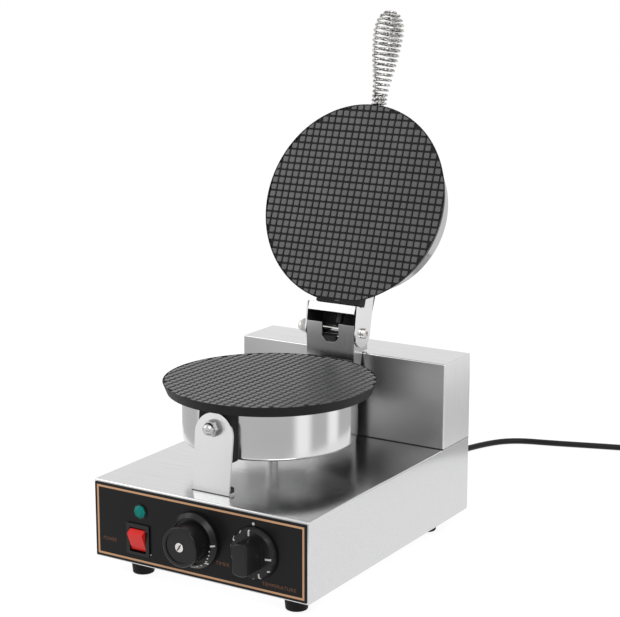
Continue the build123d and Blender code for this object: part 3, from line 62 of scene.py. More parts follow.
LID_OPEN = Matrix.Translation(HINGE) @ Matrix.Rotation(-OPEN_ANGLE, 4, "X") @ Matrix.Translation(-HINGE)
FRONT_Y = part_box("base_shell")[0].y
BASE_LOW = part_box("base_shell")[0].z
BASE_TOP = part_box("base_shell")[1].z
STILL = Matrix.Identity(4)


# ---------------------------------------------------------------- small helpers
def mm(x, y, z):
    """A point or size given in millimetres."""
    return Vector((x, y, z)) * MM


def front_point(x, y, z):
    """A point in millimetres from the machine's middle, its front face and the floor."""
    return Vector((x * MM, FRONT_Y + y * MM, z * MM))


def middle_of(node):
    """The middle of a CAD node's box."""
    low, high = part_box(node)
    return (low + high) / 2


def placed(name, data):
    """A new object for some data, put into the scene."""
    thing = bpy.data.objects.new(name, data)
    bpy.context.scene.collection.objects.link(thing)
    return thing


def mesh_of(shape, name):
    """A mesh made from a bmesh, which is freed."""
    mesh = bpy.data.meshes.new(name)
    shape.to_mesh(mesh)
    shape.free()
    return mesh


def empty_tree(owner):
    """The cleared node tree of a world or material."""
    owner.use_nodes = True
    owner.node_tree.nodes.clear()
    return owner.node_tree


def grey(level):
    """A grey as a colour."""
    return (level, level, level)


def fill_ramp(ramp, stops):
    """Gives a new colour ramp its stops of (position, colour), in order."""
    elements = ramp.color_ramp.elements
    elements[0].position, elements[1].position = stops[0][0], stops[-1][0]
    elements[0].color, elements[1].color = (*stops[0][1], 1), (*stops[-1][1], 1)
    for position, color in stops[1:-1]:
        elements.new(position).color = (*color, 1)


# ---------------------------------------------------------------- camera, light and floor
# The camera's axes, its place from the middle of the base's lower front edge, and its lens
CAMERA_RIGHT = (0.84866, 0.52894, 0.0)
CAMERA_BACK = (0.51639, -0.82853, 0.21654)
CAMERA_PLACE = (901.161, -1247.030, 601.527)
LENS, SENSOR_W = 100.354, 36.0

SKY_AS_LAMP, SKY_SEEN = 0.55, 1.0
# Each lamp: name, place, watts
LAMPS = [("key", (1.6, -1.4, 2.2), 26), ("fill", (-1.8, -1.2, 1.5), 12)]
LAMP_AIM, LAMP_SIZE = (0, 0, 0.2), 1.6

FLOOR_HALF, FLOOR_GREY = 40.0, 0.22
FLOOR_SEEN, FLOOR_AS_LAMP = 0.88, 0.50

TENT_R, TENT_LOW, TENT_HIGH = 0.38, 0.02, 0.12
TENT_SEGMENTS = 96
# The tent's wall, and the soft edge of its panels as a share of a turn
TENT_WALL, PANEL_SOFT = 0.6, 0.03
# Each panel: bearing of its middle and half its width as shares of a turn, anticlockwise from the
# machine's left, and brightness
TENT_PANELS = [(0.15, 0.04, 1.0), (0.43, 0.01, 1.2), (0.55, 0.01, 1.2), (0.78, 0.06, 0.12)]


def add_camera():
    """The photograph's view: a long lens from the front right, a little above the machine."""
    right, back = Vector(CAMERA_RIGHT).normalized(), Vector(CAMERA_BACK).normalized()
    data = bpy.data.cameras.new("camera")
    data.lens, data.sensor_width = LENS, SENSOR_W
    camera = placed("camera", data)
    turn = Matrix((right, back.cross(right), back)).transposed().to_4x4()
    place = mm(*CAMERA_PLACE) + Vector((0, FRONT_Y, BASE_LOW))
    camera.matrix_world = Matrix.Translation(place) @ turn
    bpy.context.scene.camera = camera


def add_world():
    """White surroundings as the camera, metal and glass see them, softer as a lamp."""
    world = bpy.data.worlds.new("studio")
    bpy.context.scene.world = world
    tree = empty_tree(world)
    path = tree.nodes.new("ShaderNodeLightPath")
    seen, seen_through = tree.nodes.new("ShaderNodeMath"), tree.nodes.new("ShaderNodeMath")
    seen.operation = seen_through.operation = "MAXIMUM"
    lamp, backdrop = tree.nodes.new("ShaderNodeBackground"), tree.nodes.new("ShaderNodeBackground")
    for sky, strength in ((lamp, SKY_AS_LAMP), (backdrop, SKY_SEEN)):
        sky.inputs["Color"].default_value = (1, 1, 1, 1)
        sky.inputs["Strength"].default_value = strength
    mix, out = tree.nodes.new("ShaderNodeMixShader"), tree.nodes.new("ShaderNodeOutputWorld")
    tree.links.new(path.outputs["Is Camera Ray"], seen.inputs[0])
    tree.links.new(path.outputs["Is Glossy Ray"], seen.inputs[1])
    tree.links.new(seen.outputs[0], seen_through.inputs[0])
    tree.links.new(path.outputs["Is Transmission Ray"], seen_through.inputs[1])
    tree.links.new(seen_through.outputs[0], mix.inputs[0])
    tree.links.new(lamp.outputs[0], mix.inputs[1])
    tree.links.new(backdrop.outputs[0], mix.inputs[2])
    tree.links.new(mix.outputs[0], out.inputs[0])


def add_lamp(name, place, watts):
    """A large soft lamp, aimed at the machine."""
    data = bpy.data.lights.new(name, "AREA")
    data.size = LAMP_SIZE
    data.energy = watts
    lamp = placed(name, data)
    lamp.location = place
    lamp.rotation_euler = (Vector(LAMP_AIM) - Vector(place)).to_track_quat("-Z", "Y").to_euler()


def add_floor():
    """Pale floor that keeps a soft shadow; it glows so that it reads as white, less so as a lamp."""
    mesh = bpy.data.meshes.new("floor")
    corners = [(x * FLOOR_HALF, y * FLOOR_HALF, 0) for x, y in ((-1, -1), (1, -1), (1, 1), (-1, 1))]
    mesh.from_pydata(corners, [], [(0, 1, 2, 3)])
    floor = placed("floor", mesh)
    look = bpy.data.materials.new("floor")
    tree = empty_tree(look)
    diffuse, glow = tree.nodes.new("ShaderNodeBsdfDiffuse"), tree.nodes.new("ShaderNodeEmission")
    diffuse.inputs["Color"].default_value = (*grey(FLOOR_GREY), 1)
    path, strength = tree.nodes.new("ShaderNodeLightPath"), tree.nodes.new("ShaderNodeMapRange")
    strength.inputs["To Min"].default_value = FLOOR_SEEN
    strength.inputs["To Max"].default_value = FLOOR_AS_LAMP
    both, out = tree.nodes.new("ShaderNodeAddShader"), tree.nodes.new("ShaderNodeOutputMaterial")
    tree.links.new(path.outputs["Is Diffuse Ray"], strength.inputs["Value"])
    tree.links.new(strength.outputs[0], glow.inputs["Strength"])
    tree.links.new(diffuse.outputs[0], both.inputs[0])
    tree.links.new(glow.outputs[0], both.inputs[1])
    tree.links.new(both.outputs[0], out.inputs[0])
    mesh.materials.append(look)


def add_tent():
    """Grey and white walls round the machine, which only bright surfaces mirror, as in a photo tent."""
    shape = bmesh.new()
    height, raised = TENT_HIGH - TENT_LOW, (TENT_HIGH + TENT_LOW) / 2
    bmesh.ops.create_cone(shape, segments=TENT_SEGMENTS, radius1=TENT_R, radius2=TENT_R, depth=height)
    bmesh.ops.translate(shape, verts=shape.verts, vec=(0, 0, raised))
    mesh = mesh_of(shape, "tent")
    tent = placed("tent", mesh)
    tent.visible_camera = tent.visible_diffuse = tent.visible_shadow = False
    tent.visible_transmission = tent.visible_volume_scatter = False
    look = bpy.data.materials.new("tent")
    tree = empty_tree(look)
    place = tree.nodes.new("ShaderNodeTexCoord")
    gradient = tree.nodes.new("ShaderNodeTexGradient")
    gradient.gradient_type = "RADIAL"
    ramp = tree.nodes.new("ShaderNodeValToRGB")
    ramp.color_ramp.interpolation = "EASE"
    stops = [(0.0, TENT_WALL), (1.0, TENT_WALL)]
    for middle, half, level in TENT_PANELS:
        for side in (-1, 1):
            stops.append((middle + side * half, level))
            stops.append((middle + side * (half + PANEL_SOFT), TENT_WALL))
    fill_ramp(ramp, [(bearing, grey(level)) for bearing, level in sorted(stops)])
    glow, out = tree.nodes.new("ShaderNodeEmission"), tree.nodes.new("ShaderNodeOutputMaterial")
    tree.links.new(place.outputs["Object"], gradient.inputs[0])
    tree.links.new(gradient.outputs["Fac"], ramp.inputs[0])
    tree.links.new(ramp.outputs[0], glow.inputs["Color"])
    tree.links.new(glow.outputs[0], out.inputs[0])
    mesh.materials.append(look)


# ---------------------------------------------------------------- materials
# Stretch of the grain that makes streaks along an axis
ALONG_X, ALONG_Z = (0.02, 1, 1), (1, 1, 0.02)
# Light streaks in brushed sheet, as a share of the dark ones
LIGHT_STREAKS = 0.4


class Look:
    """A node material round one Principled shader."""

    def __init__(self, name, color, roughness, metallic=0.0, specular=0.5):
        self.material = bpy.data.materials.new(name)
        self.material.use_nodes = True
        self.tree = self.material.node_tree
        self.shader = self.tree.nodes["Principled BSDF"]
        self.base, self.roughness = color, roughness
        self.shader.inputs["Base Color"].default_value = (*color, 1)
        self.shader.inputs["Roughness"].default_value = roughness
        self.shader.inputs["Metallic"].default_value = metallic
        self.shader.inputs["Specular IOR Level"].default_value = specular
        self.place = self.node("ShaderNodeTexCoord").outputs["Object"]

    def node(self, kind, **settings):
        """Adds a node and sets its properties."""
        node = self.tree.nodes.new(kind)
        for key, value in settings.items():
            setattr(node, key, value)
        return node

    def link(self, source, target):
        """Links an output to an input."""
        self.tree.links.new(source, target)

    def noise(self, scale, detail, stretch=(1, 1, 1)):
        """Noise over the piece, stretched along its axes; scale counts per metre."""
        mapping = self.node("ShaderNodeMapping")
        mapping.inputs["Scale"].default_value = stretch
        self.link(self.place, mapping.inputs["Vector"])
        noise = self.node("ShaderNodeTexNoise")
        noise.inputs["Scale"].default_value = scale
        noise.inputs["Detail"].default_value = detail
        self.link(mapping.outputs[0], noise.inputs["Vector"])
        return noise.outputs["Fac"]

    def ramp(self, source, stops):
        """Maps a value through colour stops of (position, colour)."""
        ramp = self.node("ShaderNodeValToRGB")
        fill_ramp(ramp, stops)
        self.link(source, ramp.inputs[0])
        return ramp.outputs["Color"]

    def remap(self, source, end):
        """Maps a value from 0 to 1 onto another range."""
        remap = self.node("ShaderNodeMapRange")
        for socket, value in zip(("To Min", "To Max"), end):
            remap.inputs[socket].default_value = value
        self.link(source, remap.inputs["Value"])
        return remap.outputs["Result"]

    def rough(self, source, less, more):
        """Lets the roughness vary below and above its own value."""
        span = (self.roughness - less, self.roughness + more)
        self.link(self.remap(source, span), self.shader.inputs["Roughness"])

    def color(self, source, stops):
        """Base colour through stops of (position, colour)."""
        self.link(self.ramp(source, stops), self.shader.inputs["Base Color"])

    def tint(self, source, *stops):
        """Base colour made darker or lighter through stops of (position, factor)."""
        self.color(source, [(position, shade(self.base, factor)) for position, factor in stops])

    def bump(self, source, height, strength):
        """Adds a bump of a height in millimetres."""
        bump = self.node("ShaderNodeBump")
        bump.inputs["Strength"].default_value = strength
        bump.inputs["Distance"].default_value = height * MM
        self.link(source, bump.inputs["Height"])
        self.link(bump.outputs["Normal"], self.shader.inputs["Normal"])


def shade(color, factor):
    """A colour made lighter or darker."""
    return tuple(min(1.0, part * factor) for part in color)


def brushed(name, color, roughness, stretch, streaks=0.10):
    """Stainless sheet: fine grain along one axis, faint clouds of wear and polish."""
    look = Look(name, color, roughness, metallic=1.0)
    grain = look.noise(scale=900, detail=4, stretch=stretch)
    look.rough(look.noise(scale=9, detail=3), less=0.05, more=0.06)
    look.tint(grain, (0.3, 1 - streaks), (0.7, 1 + streaks * LIGHT_STREAKS))
    look.bump(grain, height=0.012, strength=0.35)
    return look.material


def polished(name, color, roughness):
    """Bright sheet or spun drum: almost a mirror, with faint clouds."""
    look = Look(name, color, roughness, metallic=1.0)
    clouds = look.noise(scale=11, detail=3)
    look.rough(clouds, less=0.03, more=0.04)
    look.tint(clouds, (0.3, 0.96), (0.7, 1.03))
    return look.material


def cast_nonstick(name, color, roughness, specular):
    """Cast metal under a dark grey coating: fine casting grain, worn a little lighter."""
    look = Look(name, color, roughness, specular=specular)
    wear = look.noise(scale=38, detail=4)
    look.tint(wear, (0.30, 0.8), (0.55, 1), (0.80, 1.35))
    look.rough(wear, less=0.06, more=0.08)
    look.bump(look.noise(scale=2600, detail=2), height=0.05, strength=0.6)
    return look.material


def moulded(name, color, roughness, peel=0.02, specular=0.5):
    """Moulded plastic with a faint orange peel, whose depth is in millimetres."""
    look = Look(name, color, roughness, specular=specular)
    patches = look.noise(scale=30, detail=3)
    look.rough(patches, less=0.04, more=0.08)
    look.tint(patches, (0.3, 0.9), (0.7, 1.12))
    look.bump(look.noise(scale=700, detail=2), height=peel, strength=0.5)
    return look.material


def plated(name, color, roughness):
    """Bright plating on turned or stamped hardware."""
    look = Look(name, color, roughness, metallic=1.0)
    marks = look.noise(scale=160, detail=3)
    look.rough(marks, less=0.04, more=0.08)
    look.tint(marks, (0.25, 0.82), (0.6, 1), (0.85, 1.08))
    return look.material


def sparkle_painted_wire(name, dark, bright):
    """Thin bright wire with painted reflections: its colour flashes dark and bright along every turn."""
    look = Look(name, bright, 0.16, metallic=1.0)
    painted_flash = look.noise(scale=620, detail=2)
    middle = tuple((a + b) / 2 for a, b in zip(dark, bright))
    look.color(painted_flash, [(0.38, dark), (0.50, middle), (0.60, bright)])
    look.rough(painted_flash, less=0.06, more=0.06)
    return look.material


def painted(name, color, roughness, specular=0.5):
    """Painted or printed metal with a slight texture."""
    look = Look(name, color, roughness, specular=specular)
    clouds = look.noise(scale=20, detail=2)
    look.rough(clouds, less=0.04, more=0.06)
    look.tint(clouds, (0.3, 0.92), (0.7, 1.1))
    look.bump(look.noise(scale=1500, detail=2), height=0.015, strength=0.4)
    return look.material


def wool(name):
    """Pressed ceramic wool."""
    look = Look(name, (0.8, 0.78, 0.72), 0.95)
    fibres = look.noise(scale=600, detail=6, stretch=(1, 1, 4))
    look.color(fibres, [(0.3, (0.66, 0.63, 0.57)), (0.7, (0.88, 0.86, 0.8))])
    look.bump(fibres, height=0.4, strength=0.8)
    return look.material


def jewel(name):
    """Deep teal plastic of the pilot lamp."""
    look = Look(name, (0.002, 0.21, 0.18), 0.25, specular=0.12)
    depth = look.noise(scale=60, detail=2)
    look.color(depth, [(0.3, (0.001, 0.18, 0.155)), (0.7, (0.004, 0.24, 0.205))])
    look.rough(depth, less=0.09, more=0.05)
    return look.material


# The look of each material slot in the record
LOOKS = {
    "stainless": brushed("stainless", (0.66, 0.66, 0.665), 0.17, ALONG_X),
    "drum_steel": polished("drum_steel", grey(0.68), 0.12),
    "hinge_steel": brushed("hinge_steel", grey(0.58), 0.26, ALONG_Z),
    "cast_black": cast_nonstick("cast_black", (0.012, 0.012, 0.0125), 0.5, 0.15),
    "panel_black": painted("panel_black", (0.008, 0.008, 0.0085), 0.30, specular=0.15),
    "border_copper": painted("border_copper", (0.60, 0.33, 0.17), 0.35),
    "bezel_black": moulded("bezel_black", (0.006, 0.006, 0.0065), 0.22, specular=0.3),
    "rocker_red": moulded("rocker_red", (0.76, 0.022, 0.018), 0.24, peel=0.005, specular=0.25),
    "lens_teal": jewel("lens_teal"),
    "knob_black": moulded("knob_black", (0.010, 0.010, 0.0105), 0.24, specular=0.25),
    "plated": plated("plated", (0.72, 0.71, 0.69), 0.22),
    # The handle's wire, with painted reflections along it
    "nickel_wire": sparkle_painted_wire("nickel_wire", grey(0.03), (0.72, 0.71, 0.69)),
    "black_paint": painted("black_paint", grey(0.010), 0.5),
    "rubber_black": moulded("rubber_black", grey(0.006), 0.6, peel=0.06, specular=0.15),
    "sleeve_black": moulded("sleeve_black", grey(0.012), 0.42, peel=0.05),
    "cord_black": moulded("cord_black", grey(0.007), 0.36, peel=0.03, specular=0.25),
    "plug_black": moulded("plug_black", grey(0.014), 0.34, peel=0.04),
    "brass": plated("brass", (0.70, 0.50, 0.22), 0.26),
    "copper": plated("copper", (0.72, 0.38, 0.24), 0.28),
    "heater_sheath": plated("heater_sheath", (0.20, 0.19, 0.18), 0.5),
    "wool": wool("wool"),
    "ceramic": moulded("ceramic", (0.78, 0.75, 0.68), 0.6, peel=0.05),
    "control_case": moulded("control_case", (0.70, 0.66, 0.57), 0.5),
    "timer_case": plated("timer_case", grey(0.60), 0.4),
}
# Looks of single pieces, where they differ from their slot's
LOOKS_OF_ONE = {
    "front_upright": polished("upright_sheet", grey(0.70), 0.22),
    "hinge_yoke": polished("yoke_sheet", grey(0.73), 0.24),
    # The upper drum: a darker copy of the drum steel, painted shade
    "upper_drum": polished("upper_drum_shaded_sheet", grey(0.46), 0.16),
    "front_cap_nut": polished("nut_plating", grey(0.50), 0.10),
    "front_washer": polished("washer_plating", grey(0.28), 0.15),
    "pin_spacer": polished("spacer_tube", (0.34, 0.34, 0.33), 0.14),
    "lower_lead_conduit": polished("conduit_sheet", grey(0.90), 0.3),
    # The upright's screws are black: partly painted shade, for the dark patches beside the upright's foot
    "upright_screws": LOOKS["black_paint"],
}
# The rear housing's front: a darker copy of the housing's sheet, painted shade
HOUSING_FRONT_SHADE = polished("housing_front", grey(0.44), 0.30)
HOUSING_SIDE = brushed("housing_side", grey(0.73), 0.42, ALONG_Z, streaks=0.06)
# A near-white sheet for the bracket's top lips: painted highlight
HIGHLIGHT_LIP = polished("lip_highlight", grey(0.95), 0.2)
# The pads: a lighter copy of the plates' coating, painted light against the darker sunk field
PAD_LIT_LOOK = cast_nonstick("cast_black_pads_lit", (0.063, 0.063, 0.065), 0.32, 0.6)
PRINT_WHITE = painted("print_white", (0.62, 0.62, 0.60), 0.5)
PRINT_ORANGE = painted("print_orange", (0.13, 0.05, 0.022), 0.5)


# ---------------------------------------------------------------- dressed pieces
# Edges sharper than SHARP_ANGLE degrees stay sharp or get a bevel; flatter than FLAT_ANGLE goes
SHARP_ANGLE, FLAT_ANGLE = 32, 0.6
MERGE_GAP = 0.001
BEVEL_SEGMENTS = 2
# Width of the soft edges of some pieces
BEVELS = {
    "control_panel": 0.25, "rocker_switch": 0.5, "hinge_bracket": 0.7, "hinge_yoke": 0.35,
    "front_upright": 0.35, "rear_cover": 0.2, "thermostat_knob": 0.8, "rocker_button": 0.5,
    "cord_gland": 0.4,
}
# How closely a face's direction has to agree with the one that is to be repainted, as a cosine
SAME_WAY = 0.9
# The upright's foot lies less than this over the base, and the bracket's lips, which get a painted highlight, more
# than this over the pin
FOOT_REACH, LIP_LEVEL = 4, 8


def linked(name, mesh, slot, look=None):
    """A piece for a mesh, with the look of its material slot or another one."""
    piece = placed(name, mesh)
    mesh.materials.clear()
    mesh.materials.append(look or LOOKS[slot])
    return piece


def set_sharp(shape):
    """Smooth faces, with the sharp edges between them kept."""
    limit = math.radians(SHARP_ANGLE)
    for face in shape.faces:
        face.smooth = True
    for edge in shape.edges:
        edge.smooth = len(edge.link_faces) == 2 and edge.calc_face_angle(0) < limit


def apply_modifiers(piece):
    """Makes a piece's modifiers part of its mesh."""
    graph = bpy.context.evaluated_depsgraph_get()
    mesh = bpy.data.meshes.new_from_object(piece.evaluated_get(graph))
    piece.modifiers.clear()
    piece.data = mesh


def dressed(node):
    """A clean copy of a CAD node with its look and perhaps soft edges, which stands for the node."""
    bevel = BEVELS.get(node, 0)
    shape = bmesh.new()
    shape.from_mesh(frame["nodes"][node].data)
    bmesh.ops.remove_doubles(shape, verts=shape.verts, dist=MERGE_GAP * MM)
    if bevel:
        flat = math.radians(FLAT_ANGLE)
        bmesh.ops.dissolve_limit(shape, angle_limit=flat, verts=shape.verts, edges=shape.edges)
    set_sharp(shape)
    name = node + "_look"
    piece = linked(name, mesh_of(shape, name), SLOT_OF[node], LOOKS_OF_ONE.get(node))
    if bevel:
        rounding = piece.modifiers.new("bevel", "BEVEL")
        rounding.width = bevel * MM
        rounding.segments = BEVEL_SEGMENTS
        rounding.limit_method = "ANGLE"
        rounding.angle_limit = math.radians(SHARP_ANGLE)
        apply_modifiers(piece)
    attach(piece, BODY_OF[node])
    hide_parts(node)
    return piece


def repaint(node, look, normal, chosen):
    """Gives another look to a dressed piece's faces that look one way, where chosen says so."""
    mesh = bpy.data.objects[node + "_look"].data
    mesh.materials.append(look)
    for face in mesh.polygons:
        if face.normal.dot(Vector(normal)) > SAME_WAY and chosen(face.center):
            face.material_index = len(mesh.materials) - 1


def repaint_sheets():
    """The faces of sheet pieces that differ from the rest of the piece: painted shade on the rear housing's front
    and on the inner faces of the hinge's ears, and a painted highlight on the bracket's top lips.
    """
    low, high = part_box("rear_housing")
    # Black paint for painted shade on the inward faces of the hinge's ears
    black = LOOKS["black_paint"]
    # The housing's front faces get the darker copy of its sheet: painted shade
    repaint("rear_housing", HOUSING_FRONT_SHADE, (0, -1, 0), lambda spot: spot.y < low.y + MM)
    for side in (1, -1):
        way = (side, 0, 0)
        repaint("rear_housing", HOUSING_SIDE, way, lambda spot: abs(spot.x) > high.x - MM)
        # The inward faces of the yoke's and the bracket's ears are painted black: painted shade
        for node in ("hinge_yoke", "hinge_bracket"):
            repaint(node, black, way, lambda spot: (spot.x - HINGE.x) * side < 0)
    # The bracket's upward faces above the pin get a painted highlight
    repaint("hinge_bracket", HIGHLIGHT_LIP, (0, 0, 1), lambda spot: spot.z > HINGE.z + LIP_LEVEL * MM)
    sheet = LOOKS["stainless"]
    repaint("front_upright", sheet, (0, 0, 1), lambda spot: spot.z < BASE_TOP + FOOT_REACH * MM)


# ---------------------------------------------------------------- baking plates
PAD_PITCH = (7.95, 7.70)
PAD_SHIFT = (3.7, -1.8)
PAD_SIDE, PAD_CORNER, PAD_BEVEL = 6.3, 1.3, 0.6
PAD_CORNER_STEPS = 3
PAD_FIELD_R, PAD_H = 104.4, 1.5
# Pads flare and reach a little into the casting, and one that the edge cuts to less than a radius goes
PAD_FLARE, PAD_SINK = 0.15, 0.1
PAD_LEAST_R = 3 * PAD_BEVEL
FIELD_GAP, FIELD_CLEAR, FIELD_SEGMENTS = 0.3, 5, 180
# Between the two faces when the lid is shut
FACE_GAP = 1.0


def pad_outline(x, y):
    """A square pad with round corners, anticlockwise, cut off by the field's edge."""
    half = PAD_SIDE / 2 - PAD_CORNER
    points = []
    for corner in range(4):
        start = math.radians(90 * corner)
        centre_x = x + math.copysign(half, math.cos(start + math.pi / 4))
        centre_y = y + math.copysign(half, math.sin(start + math.pi / 4))
        for step in range(PAD_CORNER_STEPS + 1):
            angle = start + math.radians(90 * step / PAD_CORNER_STEPS)
            out_x, out_y = math.cos(angle) * PAD_CORNER, math.sin(angle) * PAD_CORNER
            points.append(Vector((centre_x + out_x, centre_y + out_y)))
    cut = []
    for here, there in zip(points, points[1:] + points[:1]):
        if here.length <= PAD_FIELD_R:
            cut.append(here)
        if (here.length <= PAD_FIELD_R) != (there.length <= PAD_FIELD_R):
            part = (PAD_FIELD_R - here.length) / (there.length - here.length)
            cut.append(here.lerp(there, part))
    return cut


def add_pad(shape, outline, centre, face_z, up):
    """One pad with a soft upper edge; a sliver at the field's edge that is too small is left out."""
    middle = sum(outline, Vector((0, 0))) / len(outline)
    if min((point - middle).length for point in outline) < PAD_LEAST_R:
        return
    rings = []
    for inset, depth in ((-PAD_FLARE, PAD_H + PAD_SINK), (0, PAD_BEVEL), (PAD_BEVEL, 0)):
        ring = []
        for point in outline:
            out = point - middle
            spot = middle + out * (1 - inset / out.length)
            ring.append(shape.verts.new((*(spot * MM + centre.xy), face_z - up * depth * MM)))
        rings.append(ring if up > 0 else ring[::-1])
    for low, high in zip(rings, rings[1:]):
        for index in range(len(low)):
            after = (index + 1) % len(low)
            shape.faces.new((low[index], low[after], high[after], high[index]))
    shape.faces.new(rings[-1])


def add_pads(node, centre, face_z, up, turn):
    """The square pads of one plate, standing on the sunk field up to the face's level."""
    shape = bmesh.new()
    reach = [int(PAD_FIELD_R / pitch) + 1 for pitch in PAD_PITCH]
    for column in range(-reach[0], reach[0] + 1):
        for row in range(-reach[1], reach[1] + 1):
            outline = pad_outline(PAD_SHIFT[0] + column * PAD_PITCH[0], PAD_SHIFT[1] + row * PAD_PITCH[1])
            if len(outline) > 2:
                add_pad(shape, outline, centre, face_z, up)
    bmesh.ops.transform(shape, matrix=turn, verts=shape.verts)
    set_sharp(shape)
    name = node + "_pads"
    # The pads take the lighter copy of the coating: painted light
    pads = linked(name, mesh_of(shape, name), "cast_black", PAD_LIT_LOOK)
    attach(pads, BODY_OF[node])


def add_plate(node, centre, face_z, up, turn):
    """A baking plate: the casting with its face sunk inside a thin rim, and the pads on it.

    The face is drawn level at face_z, looking up or down, and then turned with its body.
    """
    piece = dressed(node)
    low, high = sorted((face_z - up * PAD_H * MM, face_z + up * FIELD_CLEAR * MM))
    radius = (PAD_FIELD_R + FIELD_GAP) * MM
    field = bmesh.new()
    bmesh.ops.create_cone(
        field, cap_ends=True, segments=FIELD_SEGMENTS, radius1=radius, radius2=radius, depth=high - low,
    )
    bmesh.ops.translate(field, verts=field.verts, vec=(centre.x, centre.y, (low + high) / 2))
    bmesh.ops.transform(field, matrix=turn, verts=field.verts)
    cutter = placed(node + "_field", mesh_of(field, node + "_field"))
    cut = piece.modifiers.new("field", "BOOLEAN")
    cut.operation = "DIFFERENCE"
    cut.solver = "EXACT"
    cut.object = cutter
    apply_modifiers(piece)
    bpy.data.objects.remove(cutter)
    add_pads(node, centre, face_z, up, turn)


# ---------------------------------------------------------------- print and marks
PRINT_LIFT = 0.2
PANEL_T = 1.0
MARK_STEPS = 8
# Each knob's skirt: radius and distance from the base's face, at its inner and its outer edge
SKIRTS = {
    "timer_knob": ((23.3, 9.6), (27.0, 5.6)),
    "thermostat_knob": ((22.5, 7.8), (25.3, 3.0)),
}
# Each mark on a skirt: inner radius and angle, outer radius and angle, width
MARKS = {
    "timer_knob": [
        (22.4, 0.4, 26.0, 0.4, 1.5), (21.5, -14.0, 22.7, -14.0, 1.2), (22.2, -24.4, 23.4, -24.4, 1.2),
        (22.4, -33.8, 23.6, -33.8, 1.2), (23.1, -42.9, 24.3, -42.9, 1.2),
        (23.6, -48.5, 26.4, -47.5, 1.6), (23.4, -61.6, 24.8, -61.6, 1.2),
        (23.4, -73.6, 24.8, -73.6, 1.2), (25.0, -80.1, 25.8, -86.0, 1.2),
        (25.8, -86.0, 26.4, -95.3, 1.2),
    ],
    "thermostat_knob": [
        (17.8, 97.0, 23.2, 95.6, 1.7), (20.8, 150.0, 24.8, 148.8, 1.7), (23.6, 172.0, 25.0, 172.0, 1.5),
        (23.0, -164.0, 25.2, -164.0, 1.8), (23.4, -112.8, 24.6, -112.8, 1.3),
        (23.4, -87.3, 24.6, -87.3, 1.1), (15.7, -5.5, 22.4, -2.0, 1.8), (21.9, -34.4, 23.7, -34.4, 1.8),
        (18.8, -63.5, 24.2, -68.0, 1.7), (22.2, 122.0, 23.9, 122.0, 1.3),
    ],
}
# Each dot on the panel: place across, height and radius; the second is a painted highlight, a glint at the switch
# bezel's corner
PANEL_DOTS_AND_GLINT = [(63.6, 82.0, 1.45), (-54.6, 28.3, 0.7)]
DOT_SIDES = 16
# Each caption on the panel: words, left end, right end and middle height
CAPTIONS = [
    ("POWER", -111.5, -95.5, 35.5), ("TIMER", 21.0, 37.0, 36.3), ("TEMPERATURE", 72.6, 110.0, 26.4),
]
CAPTION_SIZE, CAPTION_HALF_H = 5, 1.7
# Half the size of the black bar that paints the shade of the slot in the timer knob's screw, and its turn in
# degrees
SLOT_HALF, SLOT_TURN = (3.6, 0.25, 0.55), -55


def add_print(name, shape, look, body):
    """Turns a sheet of print into a thin piece with its own look."""
    bmesh.ops.recalc_face_normals(shape, faces=shape.faces)
    piece = linked(name, mesh_of(shape, name), "panel_black", look)
    skin = piece.modifiers.new("skin", "SOLIDIFY")
    skin.thickness = PRINT_LIFT * MM
    skin.offset = 0
    apply_modifiers(piece)
    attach(piece, body)


def skirt_point(centre, skirt, radius, angle, side):
    """A point just clear of a knob's skirt; side moves it square to the radius."""
    (inner, high), (outer, low) = skirt
    part = min(1.0, max(0.0, (radius - inner) / (outer - inner)))
    turn = math.radians(angle)
    x = centre.x + radius * math.cos(turn) - side * math.sin(turn)
    z = centre.z + radius * math.sin(turn) + side * math.cos(turn)
    return front_point(x, -(high + part * (low - high)) - PRINT_LIFT, z)


def add_knob_marks(node):
    """Printed ticks and dots on a knob's skirt, which turn with the knob."""
    centre, skirt = middle_of(node) / MM, SKIRTS[node]
    shape = bmesh.new()
    for inner, start, outer, end, width in MARKS[node]:
        before = None
        for step in range(MARK_STEPS + 1):
            part = step / MARK_STEPS
            radius, angle = inner + part * (outer - inner), start + part * (end - start)
            sides = [skirt_point(centre, skirt, radius, angle, side * width / 2) for side in (1, -1)]
            pair = [shape.verts.new(point) for point in sides]
            if before:
                shape.faces.new((before[0], before[1], pair[1], pair[0]))
            before = pair
    add_print(node + "_marks", shape, PRINT_WHITE, BODY_OF[node])


def add_panel_print_and_glint():
    """Round dots on the panel: a printed dot and a painted highlight at the switch bezel's corner."""
    shape = bmesh.new()
    for x, z, radius in PANEL_DOTS_AND_GLINT:
        ring = []
        for step in range(DOT_SIDES):
            angle = 2 * math.pi * step / DOT_SIDES
            spot = (x + radius * math.cos(angle), -PANEL_T - PRINT_LIFT, z + radius * math.sin(angle))
            ring.append(shape.verts.new(front_point(*spot)))
        shape.faces.new(ring)
    add_print("panel_print_and_glint", shape, PRINT_WHITE, "base")


def add_captions():
    """Small orange captions on the panel."""
    for words, left, right, z in CAPTIONS:
        name = "caption_" + words.lower()
        curve = bpy.data.curves.new(name, "FONT")
        curve.body = words
        curve.size = CAPTION_SIZE * MM
        text = placed(name, curve)
        graph = bpy.context.evaluated_depsgraph_get()
        mesh = bpy.data.meshes.new_from_object(text.evaluated_get(graph))
        bpy.data.objects.remove(text)
        shape = bmesh.new()
        shape.from_mesh(mesh)
        ends = [vert.co.x for vert in shape.verts]
        stretch = (right - left) / (max(ends) - min(ends))
        for vert in shape.verts:
            x, height = left + (vert.co.x - min(ends)) * stretch, vert.co.y / MM - CAPTION_HALF_H
            vert.co = front_point(x, -PANEL_T - PRINT_LIFT, z + height)
        add_print(name, shape, PRINT_ORANGE, "base")


